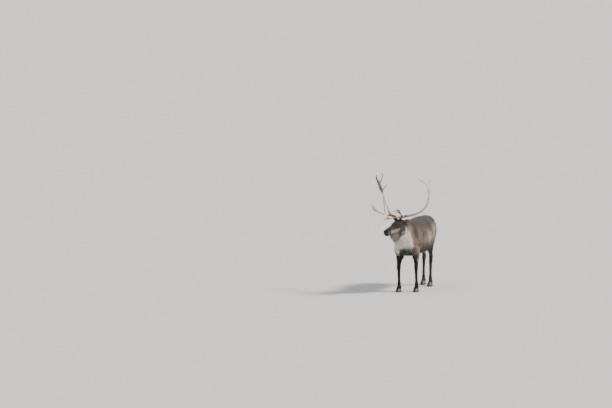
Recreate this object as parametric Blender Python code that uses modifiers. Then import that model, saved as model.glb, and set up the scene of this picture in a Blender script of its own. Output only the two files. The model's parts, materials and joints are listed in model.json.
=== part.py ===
"""A bull reindeer standing still in its autumn coat, life size, head turned a little to its right.

Metres, +Z up. The animal faces -Y and its left is +X. The floor is z = 0, and the body is
modelled about the middle of its four feet, then moved by SHIFT, so that the origin is the
middle of the whole animal's box.
"""

import math
import random

import bmesh
import bpy
from mathutils import Matrix, Vector

# Driving sizes
SHIFT = Vector((-0.0041, 0.2664, 0.0))
GAP = 0.0003
FAR = 0.9
HEAD_TURN = math.radians(19)
ANTLER_TURN = math.radians(12)
HEAD_PITCH = math.radians(16)
OCCIPUT = Vector((-0.01, -0.70, 1.13))
FORE_FOOT = {"left": Vector((0.125, -0.386, 0)), "right": Vector((-0.125, -0.512, 0))}
HIND_FOOT = {"left": Vector((0.09, 0.36, 0)), "right": Vector((-0.09, 0.53, 0))}
SIGN = {"left": 1, "right": -1}

# Where the body is parted into its nodes
NECK_PLANE_Y = -0.50
CARPUS_Z = 0.385
HOCK_Z = 0.47
HOOF_HEIGHT = 0.055

BODY_VOXEL = 0.0095
HEAD_VOXEL = 0.0045
BODY_TRIANGLES = 3800
HEAD_TRIANGLES = 1100

for stale in list(bpy.data.objects):
    bpy.data.objects.remove(stale, do_unlink=True)


def new_collection(name):
    collection = bpy.data.collections.new(name)
    bpy.context.scene.collection.children.link(collection)
    return collection


animal = new_collection("reindeer")
helpers = new_collection("cutters")


def material(name, colour, roughness, metallic=0.0):
    made = bpy.data.materials.new(name)
    made.use_nodes = True
    shader = made.node_tree.nodes["Principled BSDF"]
    shader.inputs["Base Color"].default_value = (*colour, 1.0)
    shader.inputs["Roughness"].default_value = roughness
    shader.inputs["Metallic"].default_value = metallic
    return made


FINISHES = {
    "brown_coat": ((0.17, 0.12, 0.085), 0.9),
    "dark_coat": ((0.03, 0.022, 0.02), 0.9),
    "white_coat": ((0.75, 0.70, 0.60), 0.9),
    "bone": ((0.42, 0.31, 0.20), 0.6),
    "eye": ((0.01, 0.007, 0.005), 0.1),
    "hoof": ((0.02, 0.018, 0.017), 0.5),
}


UPRIGHT = Vector((0, 0, 1))


# Small tools
def spline(rows, steps):
    """Rows of numbers resampled along a smooth Catmull-Rom curve, `steps` to a stretch."""
    found = []
    for i in range(len(rows) - 1):
        a, b = rows[max(i - 1, 0)], rows[i]
        c, d = rows[i + 1], rows[min(i + 2, len(rows) - 1)]
        for step in range(steps):
            t = step / steps
            found.append(
                tuple(
                    q
                    + 0.5 * t * (r - p)
                    + 0.5 * t**2 * (2 * p - 5 * q + 4 * r - s)
                    + 0.5 * t**3 * (3 * q - p - 3 * r + s)
                    for p, q, r, s in zip(a, b, c, d)
                )
            )
    found.append(tuple(rows[-1]))
    return found


def oval(centre, across, up, down, sides, power=2.0):
    """A closed ring round centre: an oval with its own height above and below the middle."""
    points = []
    for i in range(sides):
        angle = 2 * math.pi * i / sides
        c, s = math.cos(angle), math.sin(angle)
        c = math.copysign(abs(c) ** (2 / power), c)
        s = math.copysign(abs(s) ** (2 / power), s)
        points.append(centre + across * c + (up * s if s > 0 else down * -s))
    return points


def loft(rings):
    """Joins equal rings with faces and closes both ends, in a new bmesh."""
    made = bmesh.new()
    grid = [[made.verts.new(point) for point in ring] for ring in rings]
    count = len(grid[0])
    for a, b in zip(grid, grid[1:]):
        for i in range(count):
            j = (i + 1) % count
            made.faces.new((a[i], a[j], b[j], b[i]))
    made.faces.new(list(reversed(grid[0])))
    made.faces.new(grid[-1])
    return made


def finish_mesh(made, name):
    """Turns a bmesh into an object with its faces pointing out."""
    made.normal_update()
    bmesh.ops.recalc_face_normals(made, faces=made.faces)
    mesh = bpy.data.meshes.new(name)
    made.to_mesh(mesh)
    made.free()
    obj = bpy.data.objects.new(name, mesh)
    helpers.objects.link(obj)
    return obj


def sweep(path, sides, flat=None, start=None):
    """A limb along a path of rows (x, y, z, half_width, half_thickness). Its width runs along
    `flat` as far as the path allows, and its first ring may face a given way."""
    points = [Vector(row[:3]) for row in path]
    rings = []
    across = flat or Vector((1, 0, 0))
    for i, row in enumerate(path):
        along = (points[min(i + 1, len(points) - 1)] - points[max(i - 1, 0)]).normalized()
        if i == 0 and start:
            along = start
        across = (across - along * across.dot(along)).normalized()
        rise = along.cross(across)
        rings.append(oval(points[i], across * row[3], rise * row[4], -rise * row[4], sides))
        if flat:
            across = flat
    return loft(rings)


def evaluated(obj, name):
    """The object with its modifiers applied, as a plain mesh object."""
    graph = bpy.context.evaluated_depsgraph_get()
    mesh = bpy.data.meshes.new_from_object(obj.evaluated_get(graph))
    made = bpy.data.objects.new(name, mesh)
    made.matrix_world = obj.matrix_world
    helpers.objects.link(made)
    bpy.data.objects.remove(obj, do_unlink=True)
    return made


def largest_shell(obj):
    """Keeps only the largest closed surface of a mesh."""
    made = bmesh.new()
    made.from_mesh(obj.data)
    seen, shells = set(), []
    for start in made.faces:
        if start in seen:
            continue
        shell, stack = [], [start]
        seen.add(start)
        while stack:
            face = stack.pop()
            shell.append(face)
            for edge in face.edges:
                for other in edge.link_faces:
                    if other not in seen:
                        seen.add(other)
                        stack.append(other)
        shells.append(shell)
    shells.sort(key=lambda shell: sum(face.calc_area() for face in shell), reverse=True)
    for shell in shells[1:]:
        bmesh.ops.delete(made, geom=shell, context="FACES")
    made.to_mesh(obj.data)
    made.free()
    return obj


def boolean(obj, operation, other, solver="EXACT"):
    """Applies one Boolean with an object or with a collection of objects, which stay in place."""
    step = obj.modifiers.new(operation.lower(), "BOOLEAN")
    step.operation = operation
    step.solver = solver
    if isinstance(other, bpy.types.Collection):
        step.operand_type = "COLLECTION"
        step.collection = other
    else:
        step.object = other
    name = obj.name
    before = copy_of(obj, name + "_before")
    obj.name = name + "_cut"
    done = largest_shell(evaluated(obj, name))
    if solver == "EXACT" and not is_closed(done):
        bpy.data.objects.remove(done, do_unlink=True)
        before.name = name
        return boolean(before, operation, other, "MANIFOLD")
    bpy.data.objects.remove(before, do_unlink=True)
    return done


def is_closed(obj):
    """Whether a mesh has faces and each of its edges lies between two of them."""
    made = bmesh.new()
    made.from_mesh(obj.data)
    closed = len(made.faces) > 0 and all(edge.is_manifold for edge in made.edges)
    made.free()
    return closed


def fuse(objects, name, voxel, triangles, smoothing):
    """Melts overlapping closed forms into one skin and thins it to a few thousand triangles."""
    made = bmesh.new()
    for obj in objects:
        made.from_mesh(obj.data)
        bpy.data.objects.remove(obj, do_unlink=True)
    whole = finish_mesh(made, name + "_parts")
    remesh = whole.modifiers.new("melt", "REMESH")
    remesh.mode = "VOXEL"
    remesh.voxel_size = voxel
    smooth = whole.modifiers.new("soften", "SMOOTH")
    smooth.factor = 0.5
    smooth.iterations = smoothing
    whole = evaluated(whole, name + "_fine")
    whole.data.calc_loop_triangles()
    thin = whole.modifiers.new("thin", "DECIMATE")
    thin.ratio = triangles / len(whole.data.loop_triangles)
    return largest_shell(evaluated(whole, name))


def box(low, high, origin=None, axes=None, grow=0.0):
    """A cutter box between two corners, in the world or along three axes from an origin."""
    made = bmesh.new()
    bmesh.ops.create_cube(made, size=1.0)
    low = Vector(low) - Vector((grow, grow, grow))
    high = Vector(high) + Vector((grow, grow, grow))
    place = Matrix.Translation((low + high) / 2) @ Matrix.Diagonal((*(high - low), 1.0))
    if axes:
        place = Matrix.Translation(origin) @ Matrix(axes).transposed().to_4x4() @ place
    made.transform(place)
    return finish_mesh(made, "box")


def copy_of(obj, name):
    made = bpy.data.objects.new(name, obj.data.copy())
    helpers.objects.link(made)
    return made


def part_off(whole, name, region, solver="EXACT"):
    """Parts a whole into the piece inside a region and the rest, with the gap between them.
    region(grow) makes the region's cutter, grown by a distance on every side."""
    inner, outer = region(0.0), region(GAP)
    piece = boolean(copy_of(whole, name), "INTERSECT", inner, solver)
    rest = boolean(whole, "DIFFERENCE", outer, solver)
    bpy.data.objects.remove(inner, do_unlink=True)
    bpy.data.objects.remove(outer, do_unlink=True)
    return piece, rest


def place_node(obj, name, finish):
    """Moves a finished solid into the animal's collection under its node's name."""
    if obj.name != name:
        obj.name = name
    helpers.objects.unlink(obj)
    animal.objects.link(obj)
    obj.data.transform(Matrix.Translation(SHIFT))
    colour, roughness = FINISHES[finish]
    obj.data.materials.clear()
    obj.data.materials.append(material(name, colour, roughness))
    obj.data.name = name
    return obj


# Trunk and neck: y, top, underside, half width, height of the widest place (0 to 1)
TRUNK = [
    (-0.600, 0.94, 0.76, 0.075, 0.50),
    (-0.560, 1.03, 0.66, 0.125, 0.50),
    (-0.480, 1.095, 0.605, 0.165, 0.48),
    (-0.380, 1.125, 0.585, 0.190, 0.47),
    (-0.250, 1.140, 0.580, 0.205, 0.47),
    (-0.080, 1.150, 0.578, 0.222, 0.48),
    (0.080, 1.168, 0.575, 0.235, 0.47),
    (0.200, 1.172, 0.592, 0.222, 0.48),
    (0.310, 1.158, 0.632, 0.190, 0.50),
    (0.410, 1.160, 0.665, 0.168, 0.52),
    (0.490, 1.135, 0.705, 0.140, 0.52),
    (0.560, 1.080, 0.760, 0.100, 0.52),
    (0.600, 1.010, 0.840, 0.050, 0.50),
]
# Neck: x, y, top, underside, half width
NECK = [
    (0.000, -0.380, 1.095, 0.66, 0.150),
    (0.000, -0.470, 1.120, 0.68, 0.145),
    (-0.002, -0.560, 1.130, 0.72, 0.132),
    (-0.006, -0.640, 1.145, 0.77, 0.116),
    (-0.012, -0.710, 1.185, 0.83, 0.100),
    (-0.022, -0.770, 1.195, 0.90, 0.085),
    (-0.034, -0.820, 1.180, 0.97, 0.065),
]
# Head: along, top, underside, half width, from the occiput to the tip of the nose
HEAD = [
    (0.000, 0.076, -0.105, 0.066),
    (0.035, 0.088, -0.117, 0.076),
    (0.075, 0.092, -0.122, 0.079),
    (0.115, 0.088, -0.121, 0.078),
    (0.155, 0.078, -0.117, 0.073),
    (0.200, 0.066, -0.106, 0.062),
    (0.250, 0.057, -0.092, 0.052),
    (0.300, 0.052, -0.081, 0.047),
    (0.345, 0.051, -0.075, 0.049),
    (0.385, 0.047, -0.071, 0.051),
    (0.408, 0.036, -0.060, 0.045),
    (0.420, 0.018, -0.036, 0.028),
]


def trunk_solid():
    rings = []
    for y, top, under, half, widest in spline(TRUNK, 3):
        middle = under + (top - under) * widest
        rings.append(
            oval(
                Vector((0, y, middle)),
                Vector((half, 0, 0)),
                Vector((0, 0, top - middle)),
                Vector((0, 0, under - middle)),
                28,
                2.25,
            )
        )
    return finish_mesh(loft(rings), "trunk")


def neck_solid():
    rings = []
    for x, y, top, under, half in spline(NECK, 3):
        middle = (top + under) / 2
        rings.append(
            oval(
                Vector((x, y, middle)),
                Vector((half, 0, 0)),
                Vector((0, 0, top - middle)),
                Vector((0, 0, under - middle)),
                24,
            )
        )
    return finish_mesh(loft(rings), "neck_core")


# Head's own axes: forward along the skull, up from the face, out to the left
FORWARD_FLAT = Vector((-math.sin(HEAD_TURN), -math.cos(HEAD_TURN), 0))
OUT = Vector((math.cos(HEAD_TURN), -math.sin(HEAD_TURN), 0))
ALONG = FORWARD_FLAT * math.cos(HEAD_PITCH) - Vector((0, 0, 1)) * math.sin(HEAD_PITCH)
RISE = FORWARD_FLAT * math.sin(HEAD_PITCH) + Vector((0, 0, 1)) * math.cos(HEAD_PITCH)


def on_head(along, rise, out):
    return OCCIPUT + ALONG * along + RISE * rise + OUT * out


def ball(name, centre, radii, axes, segments=20, rings=12):
    """An ellipsoid with its own three axes."""
    made = bmesh.new()
    bmesh.ops.create_uvsphere(made, u_segments=segments, v_segments=rings, radius=1.0)
    turn = Matrix([axes[0], axes[1], axes[2]]).transposed().to_4x4()
    made.transform(Matrix.Translation(centre) @ turn @ Matrix.Diagonal((*radii, 1.0)))
    return finish_mesh(made, name)


HEAD_AXES = (ALONG, OUT, RISE)
# Level axes for the antlers and for the plane between head and neck
ANTLER_FORWARD = Vector((-math.sin(ANTLER_TURN), -math.cos(ANTLER_TURN), 0))
ANTLER_OUT = Vector((math.cos(ANTLER_TURN), -math.sin(ANTLER_TURN), 0))
LEVEL_AXES = (ANTLER_OUT, ANTLER_FORWARD, UPRIGHT)
EYE_PLACE = (0.150, 0.030, 0.057)
EYE_RADIUS = 0.0175
PEDICLE = (0.062, 0.078, 0.046)
PEDICLE_RADIUS = 0.021
PEDICLE_HEIGHT = 0.038


def head_solid():
    rings = []
    for along, top, under, half in spline(HEAD, 3):
        middle = (top + under) / 2
        rings.append(
            oval(
                on_head(along, middle, 0),
                OUT * half,
                RISE * (top - middle),
                RISE * (under - middle),
                24,
                2.3,
            )
        )
    pieces = [finish_mesh(loft(rings), "skull")]
    for side in SIGN.values():
        lump = Vector(EYE_PLACE)
        pieces.append(
            ball("brow", on_head(lump.x - 0.004, lump.y + 0.012, side * (lump.z - 0.010)),
                 (0.034, 0.018, 0.020), HEAD_AXES)
        )
        lumps = {
            "cheek": ((0.075, -0.055, 0.042), (0.065, 0.040, 0.055)),
            "nose_wing": ((0.392, 0.014, 0.026), (0.026, 0.022, 0.022)),
            "upper_lip": ((0.375, -0.020, 0.026), (0.036, 0.024, 0.022)),
        }
        for name, ((along, rise, out), radii) in lumps.items():
            pieces.append(ball(name, on_head(along, rise, side * out), radii, HEAD_AXES))
        pedicle = [
            on_head(PEDICLE[0], PEDICLE[1] - 0.03, side * PEDICLE[2]),
            pedicle_top(side),
        ]
        rows = [(*point, PEDICLE_RADIUS, PEDICLE_RADIUS) for point in pedicle]
        pieces.append(finish_mesh(sweep(rows, 12), "pedicle"))
    pieces.append(ball("lower_lip", on_head(0.368, -0.056, 0), (0.034, 0.030, 0.018), HEAD_AXES))
    return pieces


def pedicle_top(side):
    return on_head(PEDICLE[0], PEDICLE[1], side * PEDICLE[2]) + Vector((0, 0, PEDICLE_HEIGHT))


# Legs: height, offset forward or back from the foot, half width across, half width along
FORE_LEG = [
    (0.052, -0.002, 0.044, 0.052),
    (0.075, 0.008, 0.032, 0.038),
    (0.100, 0.020, 0.027, 0.031),
    (0.130, 0.030, 0.030, 0.036),
    (0.165, 0.024, 0.024, 0.030),
    (0.250, 0.018, 0.023, 0.028),
    (0.330, 0.014, 0.026, 0.031),
    (0.385, 0.008, 0.032, 0.037),
    (0.430, 0.010, 0.032, 0.038),
    (0.500, 0.022, 0.040, 0.050),
    (0.570, 0.035, 0.052, 0.068),
    (0.640, 0.040, 0.064, 0.095),
    (0.740, 0.000, 0.072, 0.120),
    (0.860, -0.010, 0.066, 0.120),
    (0.980, 0.040, 0.050, 0.110),
    (1.060, 0.080, 0.032, 0.080),
]
HIND_LEG = [
    (0.052, -0.002, 0.042, 0.050),
    (0.075, 0.008, 0.031, 0.037),
    (0.100, 0.020, 0.026, 0.031),
    (0.130, 0.030, 0.029, 0.036),
    (0.170, 0.026, 0.024, 0.031),
    (0.270, 0.030, 0.023, 0.032),
    (0.370, 0.036, 0.026, 0.036),
    (0.440, 0.046, 0.031, 0.046),
    (0.490, 0.050, 0.031, 0.048),
    (0.530, 0.034, 0.032, 0.050),
    (0.590, -0.004, 0.044, 0.070),
    (0.660, -0.050, 0.062, 0.105),
    (0.740, -0.060, 0.076, 0.135),
    (0.840, -0.040, 0.082, 0.145),
    (0.940, -0.010, 0.078, 0.135),
    (1.040, 0.010, 0.060, 0.100),
]
# The feet stand a little apart from the plain stance: the shift fades out up the leg
FORE_STANCE = Vector((0.105, -0.450, 0))
HIND_STANCE = Vector((0.092, 0.425, 0))
FADE_FROM = {"fore": 0.42, "hind": 0.47}
FADE_TO = {"fore": 0.85, "hind": 0.90}


def leg_place(kind, side, height):
    """The middle of a leg at a height, above its foot low down and under the body high up."""
    foot = (FORE_FOOT if kind == "fore" else HIND_FOOT)[side]
    stance = (FORE_STANCE if kind == "fore" else HIND_STANCE).copy()
    stance.x *= SIGN[side]
    share = (height - FADE_FROM[kind]) / (FADE_TO[kind] - FADE_FROM[kind])
    share = max(0.0, min(1.0, share))
    share = share * share * (3 - 2 * share)
    place = foot.lerp(stance, share)
    place.z = height
    return place


def leg_solid(kind, side):
    rings = []
    for height, back, across, along in spline(FORE_LEG if kind == "fore" else HIND_LEG, 3):
        centre = leg_place(kind, side, height) + Vector((0, back, 0))
        half = Vector((0, along, 0))
        rings.append(oval(centre, Vector((across, 0, 0)), half, -half, 16))
    return finish_mesh(loft(rings), f"{kind}_{side}_leg")


# Hooves: each claw is a crescent, drawn at four heights
CLAW_LENGTH = 0.112
CLAW_WIDTH = 0.044
CLAW_SPLIT = 0.0035
CLAW_LEVELS = [(0.0, 1.0, 0.0), (0.014, 1.0, 0.0), (0.034, 0.93, 0.004), (HOOF_HEIGHT, 0.78, 0.012)]


def claw_outline(scale, back):
    """Plan of the outer claw: a straight inner edge, a full outer curve and a pointed toe."""
    points = []
    for i in range(9):
        t = i / 8
        y = CLAW_LENGTH * (0.42 - t)
        outer = CLAW_WIDTH * math.sin(math.pi * (0.10 + 0.84 * t) ** 0.85) ** 0.6
        points.append((outer * scale, y * scale + back))
    points.append((0.006 * scale, -CLAW_LENGTH * 0.585 * scale + back))
    points.append((0.0, -CLAW_LENGTH * 0.35 * scale + back))
    points.append((0.001 * scale, 0.0 + back))
    points.append((0.0, CLAW_LENGTH * 0.40 * scale + back))
    return points


def claw_solid(kind, side, which):
    foot = (FORE_FOOT if kind == "fore" else HIND_FOOT)[side]
    hand = SIGN[side] * (1 if which == "outer" else -1)
    rings = []
    for height, scale, back in CLAW_LEVELS:
        outline = claw_outline(scale, back)
        rings.append([Vector((foot.x + hand * (x + CLAW_SPLIT), foot.y + y, height)) for x, y in outline])
    return finish_mesh(loft(rings), f"hoof_{kind}_{side}_{which}")


DEWCLAW_ROOT = Vector((0.0165, 0.045, 0.096))
DEWCLAW_WAY = Vector((0.0, 0.60, -0.80))
# Run along the way out, how far it turns down, half width
DEWCLAW = [
    (0.000, 0.000, 0.0120),
    (0.010, 0.000, 0.0130),
    (0.024, 0.004, 0.0125),
    (0.038, 0.010, 0.0085),
    (0.046, 0.016, 0.0035),
]


def dewclaw_root(kind, side, which):
    foot = (FORE_FOOT if kind == "fore" else HIND_FOOT)[side]
    hand = SIGN[side] * (1 if which == "outer" else -1)
    return foot + Vector((hand * DEWCLAW_ROOT.x, DEWCLAW_ROOT.y, DEWCLAW_ROOT.z))


def dewclaw_solid(kind, side, which):
    root = dewclaw_root(kind, side, which)
    rows = [(*(root + DEWCLAW_WAY * run - UPRIGHT * drop), half, half * 0.8) for run, drop, half in DEWCLAW]
    return finish_mesh(sweep(rows, 6, Vector((1, 0, 0)), DEWCLAW_WAY), f"dewclaw_{kind}_{side}_{which}")


TAIL_ROOT = Vector((0.0, 0.588, 0.985))
TAIL_WAY = Vector((0.0, 0.96, -0.28))
TAIL = [
    (0.0, 0.000, 0.000, 0.030, 0.024),
    (0.0, 0.026, -0.0076, 0.034, 0.026),
    (0.0, 0.056, -0.045, 0.038, 0.024),
    (0.0, 0.064, -0.100, 0.038, 0.021),
    (0.0, 0.058, -0.155, 0.020, 0.012),
]


def tail_solid():
    rows = []
    for x, y, z, across, thick in spline(TAIL, 2):
        rows.append((TAIL_ROOT.x + x, TAIL_ROOT.y + y, TAIL_ROOT.z + z, across, thick))
    return finish_mesh(sweep(rows, 12, Vector((1, 0, 0)), TAIL_WAY), "tail")


# Ears: share of the length, half width, depth of the cup
EAR_LENGTH = 0.125
EAR_ROOT = (0.022, 0.040, 0.062)
EAR = [
    (0.00, 0.0150, 0.0150),
    (0.15, 0.0210, 0.0180),
    (0.35, 0.0300, 0.0200),
    (0.55, 0.0320, 0.0180),
    (0.75, 0.0250, 0.0120),
    (0.90, 0.0150, 0.0060),
    (1.00, 0.0050, 0.0020),
]
EAR_WALL = 0.006


def ear_axes(side):
    """Root, direction from root to tip, and the way the cup faces."""
    sign = SIGN[side]
    root = on_head(EAR_ROOT[0], EAR_ROOT[1], sign * EAR_ROOT[2])
    along = (OUT * sign * 0.88 - FORWARD_FLAT * 0.34 + UPRIGHT * 0.24).normalized()
    facing = FORWARD_FLAT * 0.75 + OUT * sign * 0.50 - UPRIGHT * 0.15
    facing = (facing - along * facing.dot(along)).normalized()
    return root, along, facing


def ear_solid(side):
    """A leaf rolled into a cup that opens forward, with a real wall."""
    root, along, facing = ear_axes(side)
    wide = along.cross(facing)
    rings = []
    for share, half, cup in EAR:
        centre = root + along * (EAR_LENGTH * share)
        wall = min(EAR_WALL, half * 0.6)
        ring = []
        for i in range(7):
            angle = math.pi * i / 6
            deep = cup * math.sin(angle) + wall * (0.4 + 0.6 * math.sin(angle))
            ring.append(centre + wide * (half * math.cos(angle)) - facing * deep)
        for i in range(5):
            angle = math.pi * (4 - i) / 4
            inner = half - 0.5 * wall
            ring.append(centre + wide * (inner * math.cos(angle)) - facing * (cup * math.sin(angle)))
        rings.append(ring)
    return finish_mesh(loft(rings), f"ear_{side}")


def ear_space(side):
    """The room that an ear needs beside the neck."""
    root, along, facing = ear_axes(side)
    middle = root + along * EAR_LENGTH * 0.5 - facing * 0.010
    axes = (along, along.cross(facing), facing)
    return ball("ear_space", middle, (EAR_LENGTH * 0.62, 0.044, 0.032), axes, 12, 8)


# Antlers: points as (out, forward, up) from the pedicle's top, with half width and half thickness
ANTLERS = {
    "left": {
        "beam": [
            (0.000, 0.000, -0.014, 0.0200, 0.0200),
            (0.002, -0.002, 0.004, 0.0212, 0.0205),
            (0.016, -0.014, 0.018, 0.0210, 0.0190),
            (0.055, -0.057, 0.030, 0.0185, 0.0165),
            (0.135, -0.146, 0.048, 0.0165, 0.0150),
            (0.200, -0.205, 0.075, 0.0160, 0.0145),
            (0.268, -0.243, 0.122, 0.0155, 0.0140),
            (0.318, -0.256, 0.182, 0.0155, 0.0140),
            (0.355, -0.257, 0.254, 0.0155, 0.0135),
            (0.376, -0.250, 0.335, 0.0165, 0.0125),
            (0.386, -0.240, 0.410, 0.0220, 0.0110),
            (0.388, -0.232, 0.465, 0.0330, 0.0095),
            (0.384, -0.226, 0.520, 0.0340, 0.0085),
            (0.374, -0.205, 0.552, 0.0250, 0.0085),
            (0.360, -0.150, 0.580, 0.0150, 0.0085),
            (0.338, -0.070, 0.624, 0.0110, 0.0080),
            (0.310, 0.010, 0.684, 0.0040, 0.0040),
        ],
        "up_tine": [
            (0.384, -0.240, 0.505, 0.0150, 0.0080),
            (0.394, -0.262, 0.566, 0.0120, 0.0075),
            (0.395, -0.248, 0.617, 0.0085, 0.0065),
            (0.386, -0.238, 0.655, 0.0035, 0.0035),
        ],
        "back_tine": [
            (0.387, -0.240, 0.420, 0.0140, 0.0080),
            (0.391, -0.290, 0.436, 0.0110, 0.0075),
            (0.396, -0.345, 0.462, 0.0040, 0.0040),
        ],
        "brow": [
            (0.000, 0.000, 0.008, 0.0120, 0.0120),
            (0.006, 0.040, 0.018, 0.0105, 0.0100),
            (0.004, 0.090, 0.024, 0.0080, 0.0075),
            (-0.002, 0.135, 0.022, 0.0035, 0.0035),
        ],
        "bez": [
            (0.024, -0.020, 0.022, 0.0130, 0.0120),
            (0.034, 0.020, 0.050, 0.0135, 0.0110),
            (0.046, 0.070, 0.085, 0.0150, 0.0105),
            (0.052, 0.126, 0.118, 0.0240, 0.0085),
            (0.060, 0.185, 0.138, 0.0260, 0.0080),
            (0.066, 0.245, 0.146, 0.0160, 0.0080),
            (0.064, 0.330, 0.150, 0.0110, 0.0075),
            (0.056, 0.410, 0.164, 0.0040, 0.0040),
        ],
        "bez_point": [
            (0.054, 0.120, 0.112, 0.0120, 0.0080),
            (0.070, 0.128, 0.145, 0.0090, 0.0070),
            (0.092, 0.132, 0.176, 0.0035, 0.0035),
        ],
    },
    "right": {
        "beam": [
            (0.000, 0.000, -0.014, 0.0200, 0.0200),
            (-0.002, -0.001, 0.004, 0.0212, 0.0205),
            (-0.020, -0.007, 0.017, 0.0210, 0.0190),
            (-0.070, -0.014, 0.030, 0.0185, 0.0165),
            (-0.132, -0.040, 0.048, 0.0165, 0.0150),
            (-0.185, -0.086, 0.082, 0.0160, 0.0145),
            (-0.236, -0.134, 0.132, 0.0155, 0.0140),
            (-0.290, -0.166, 0.200, 0.0155, 0.0140),
            (-0.332, -0.182, 0.272, 0.0155, 0.0135),
            (-0.365, -0.183, 0.350, 0.0170, 0.0125),
            (-0.378, -0.168, 0.402, 0.0260, 0.0110),
            (-0.388, -0.140, 0.460, 0.0310, 0.0095),
            (-0.392, -0.100, 0.530, 0.0250, 0.0090),
            (-0.390, -0.055, 0.576, 0.0150, 0.0085),
            (-0.384, -0.018, 0.622, 0.0110, 0.0080),
            (-0.370, -0.003, 0.672, 0.0040, 0.0040),
        ],
        "up_tine": [
            (-0.391, -0.115, 0.500, 0.0150, 0.0080),
            (-0.391, -0.160, 0.560, 0.0115, 0.0075),
            (-0.390, -0.205, 0.619, 0.0085, 0.0065),
            (-0.376, -0.192, 0.690, 0.0035, 0.0035),
        ],
        "back_tine": [
            (-0.380, -0.165, 0.405, 0.0140, 0.0080),
            (-0.392, -0.225, 0.415, 0.0120, 0.0080),
            (-0.396, -0.280, 0.442, 0.0090, 0.0070),
            (-0.390, -0.345, 0.490, 0.0035, 0.0035),
        ],
        "brow": [
            (0.000, 0.002, 0.008, 0.0140, 0.0130),
            (0.006, 0.060, 0.006, 0.0125, 0.0110),
            (0.014, 0.130, 0.000, 0.0120, 0.0100),
            (0.022, 0.215, 0.004, 0.0150, 0.0095),
            (0.027, 0.275, 0.014, 0.0420, 0.0080),
            (0.030, 0.330, 0.026, 0.0780, 0.0070),
            (0.030, 0.372, 0.034, 0.0900, 0.0060),
            (0.030, 0.394, 0.038, 0.0820, 0.0045),
        ],
        "brow_point": [
            (0.030, 0.350, 0.085, 0.0160, 0.0065),
            (0.029, 0.374, 0.160, 0.0100, 0.0065),
            (0.026, 0.390, 0.258, 0.0080, 0.0060),
            (0.020, 0.404, 0.380, 0.0030, 0.0030),
        ],
        "bez": [
            (-0.060, -0.012, 0.028, 0.0130, 0.0120),
            (-0.092, 0.034, 0.036, 0.0135, 0.0115),
            (-0.140, 0.128, 0.066, 0.0130, 0.0105),
            (-0.182, 0.202, 0.096, 0.0140, 0.0095),
            (-0.216, 0.262, 0.134, 0.0230, 0.0085),
            (-0.236, 0.302, 0.172, 0.0220, 0.0080),
            (-0.246, 0.326, 0.212, 0.0120, 0.0075),
            (-0.251, 0.344, 0.262, 0.0035, 0.0035),
        ],
        "bez_point": [
            (-0.220, 0.266, 0.140, 0.0120, 0.0080),
            (-0.220, 0.284, 0.186, 0.0085, 0.0070),
            (-0.222, 0.302, 0.232, 0.0035, 0.0035),
        ],
    },
}
BACKWARD = -ANTLER_FORWARD
FLAT_ALONG = {
    "beam": BACKWARD,
    "up_tine": BACKWARD,
    "back_tine": UPRIGHT,
    "brow": UPRIGHT,
    "brow_point": ANTLER_FORWARD,
    "bez": UPRIGHT,
    "bez_point": ANTLER_OUT,
}
ANTLER_SIDES = 8
# How much stouter the main beam is than its rows say
BEAM_GAIN = 1.2


def antler_point(side, out, forward, up):
    return pedicle_top(SIGN[side]) + ANTLER_OUT * out + ANTLER_FORWARD * forward + UPRIGHT * (up + GAP)


def antler_piece(side, name):
    rows = []
    gain = BEAM_GAIN if name == "beam" else 1.0
    for out, forward, up, half, thick in spline(ANTLERS[side][name], 2):
        rows.append((*antler_point(side, out, forward, up), half * gain, thick * gain))
    return finish_mesh(sweep(rows, ANTLER_SIDES, FLAT_ALONG[name]), f"{side}_{name}")


# The pieces that each antler is parted into: name, low corner and high corner of the region
ANTLER_PARTS = {
    "left": [
        ("front_tine", (0.1, -0.180, 0.50), (FAR, FAR, FAR)),
        ("up_tine", (0.1, -FAR, 0.585), (FAR, -0.185, FAR)),
        ("back_tine", (0.1, -FAR, 0.385), (FAR, -0.274, 0.50)),
        ("palm", (0.1, -FAR, 0.385), (FAR, FAR, FAR)),
        ("beam", (0.1, -FAR, 0.165), (FAR, FAR, FAR)),
        ("bez_point", (0.0625, 0.090, 0.130), (FAR, 0.165, FAR)),
        ("bez", (-FAR, 0.024, 0.034), (FAR, FAR, FAR)),
        ("brow", (-FAR, 0.024, -FAR), (FAR, FAR, 0.0335)),
    ],
    "right": [
        ("front_tine", (-FAR, -0.068, 0.50), (-0.1, FAR, FAR)),
        ("up_tine", (-FAR, -FAR, 0.560), (-0.1, -0.115, FAR)),
        ("back_tine", (-FAR, -FAR, 0.30), (-0.1, -0.209, 0.55)),
        ("palm", (-FAR, -FAR, 0.375), (-0.1, FAR, FAR)),
        ("beam", (-FAR, -FAR, 0.165), (-0.1, 0.02, FAR)),
        ("bez", (-FAR, 0.020, -FAR), (-0.05, FAR, FAR)),
        ("shovel_point", (-0.1, 0.25, 0.132), (FAR, FAR, FAR)),
        ("shovel", (-0.1, 0.250, -FAR), (FAR, FAR, FAR)),
        ("brow", (-0.1, 0.026, -FAR), (FAR, FAR, FAR)),
    ],
}


def pieces_collection(objects):
    """Puts loose closed forms into one collection, for a single union."""
    group = bpy.data.collections.new("pieces")
    bpy.context.scene.collection.children.link(group)
    for obj in objects:
        helpers.objects.unlink(obj)
        group.objects.link(obj)
    return group


def unite(obj, others, solver="EXACT"):
    group = pieces_collection(others)
    obj = boolean(obj, "UNION", group, solver)
    for other in list(group.objects):
        bpy.data.objects.remove(other, do_unlink=True)
    bpy.data.collections.remove(group)
    return obj


def cut(obj, cutter, solver="EXACT"):
    obj = boolean(obj, "DIFFERENCE", cutter, solver)
    bpy.data.objects.remove(cutter, do_unlink=True)
    return obj


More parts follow.
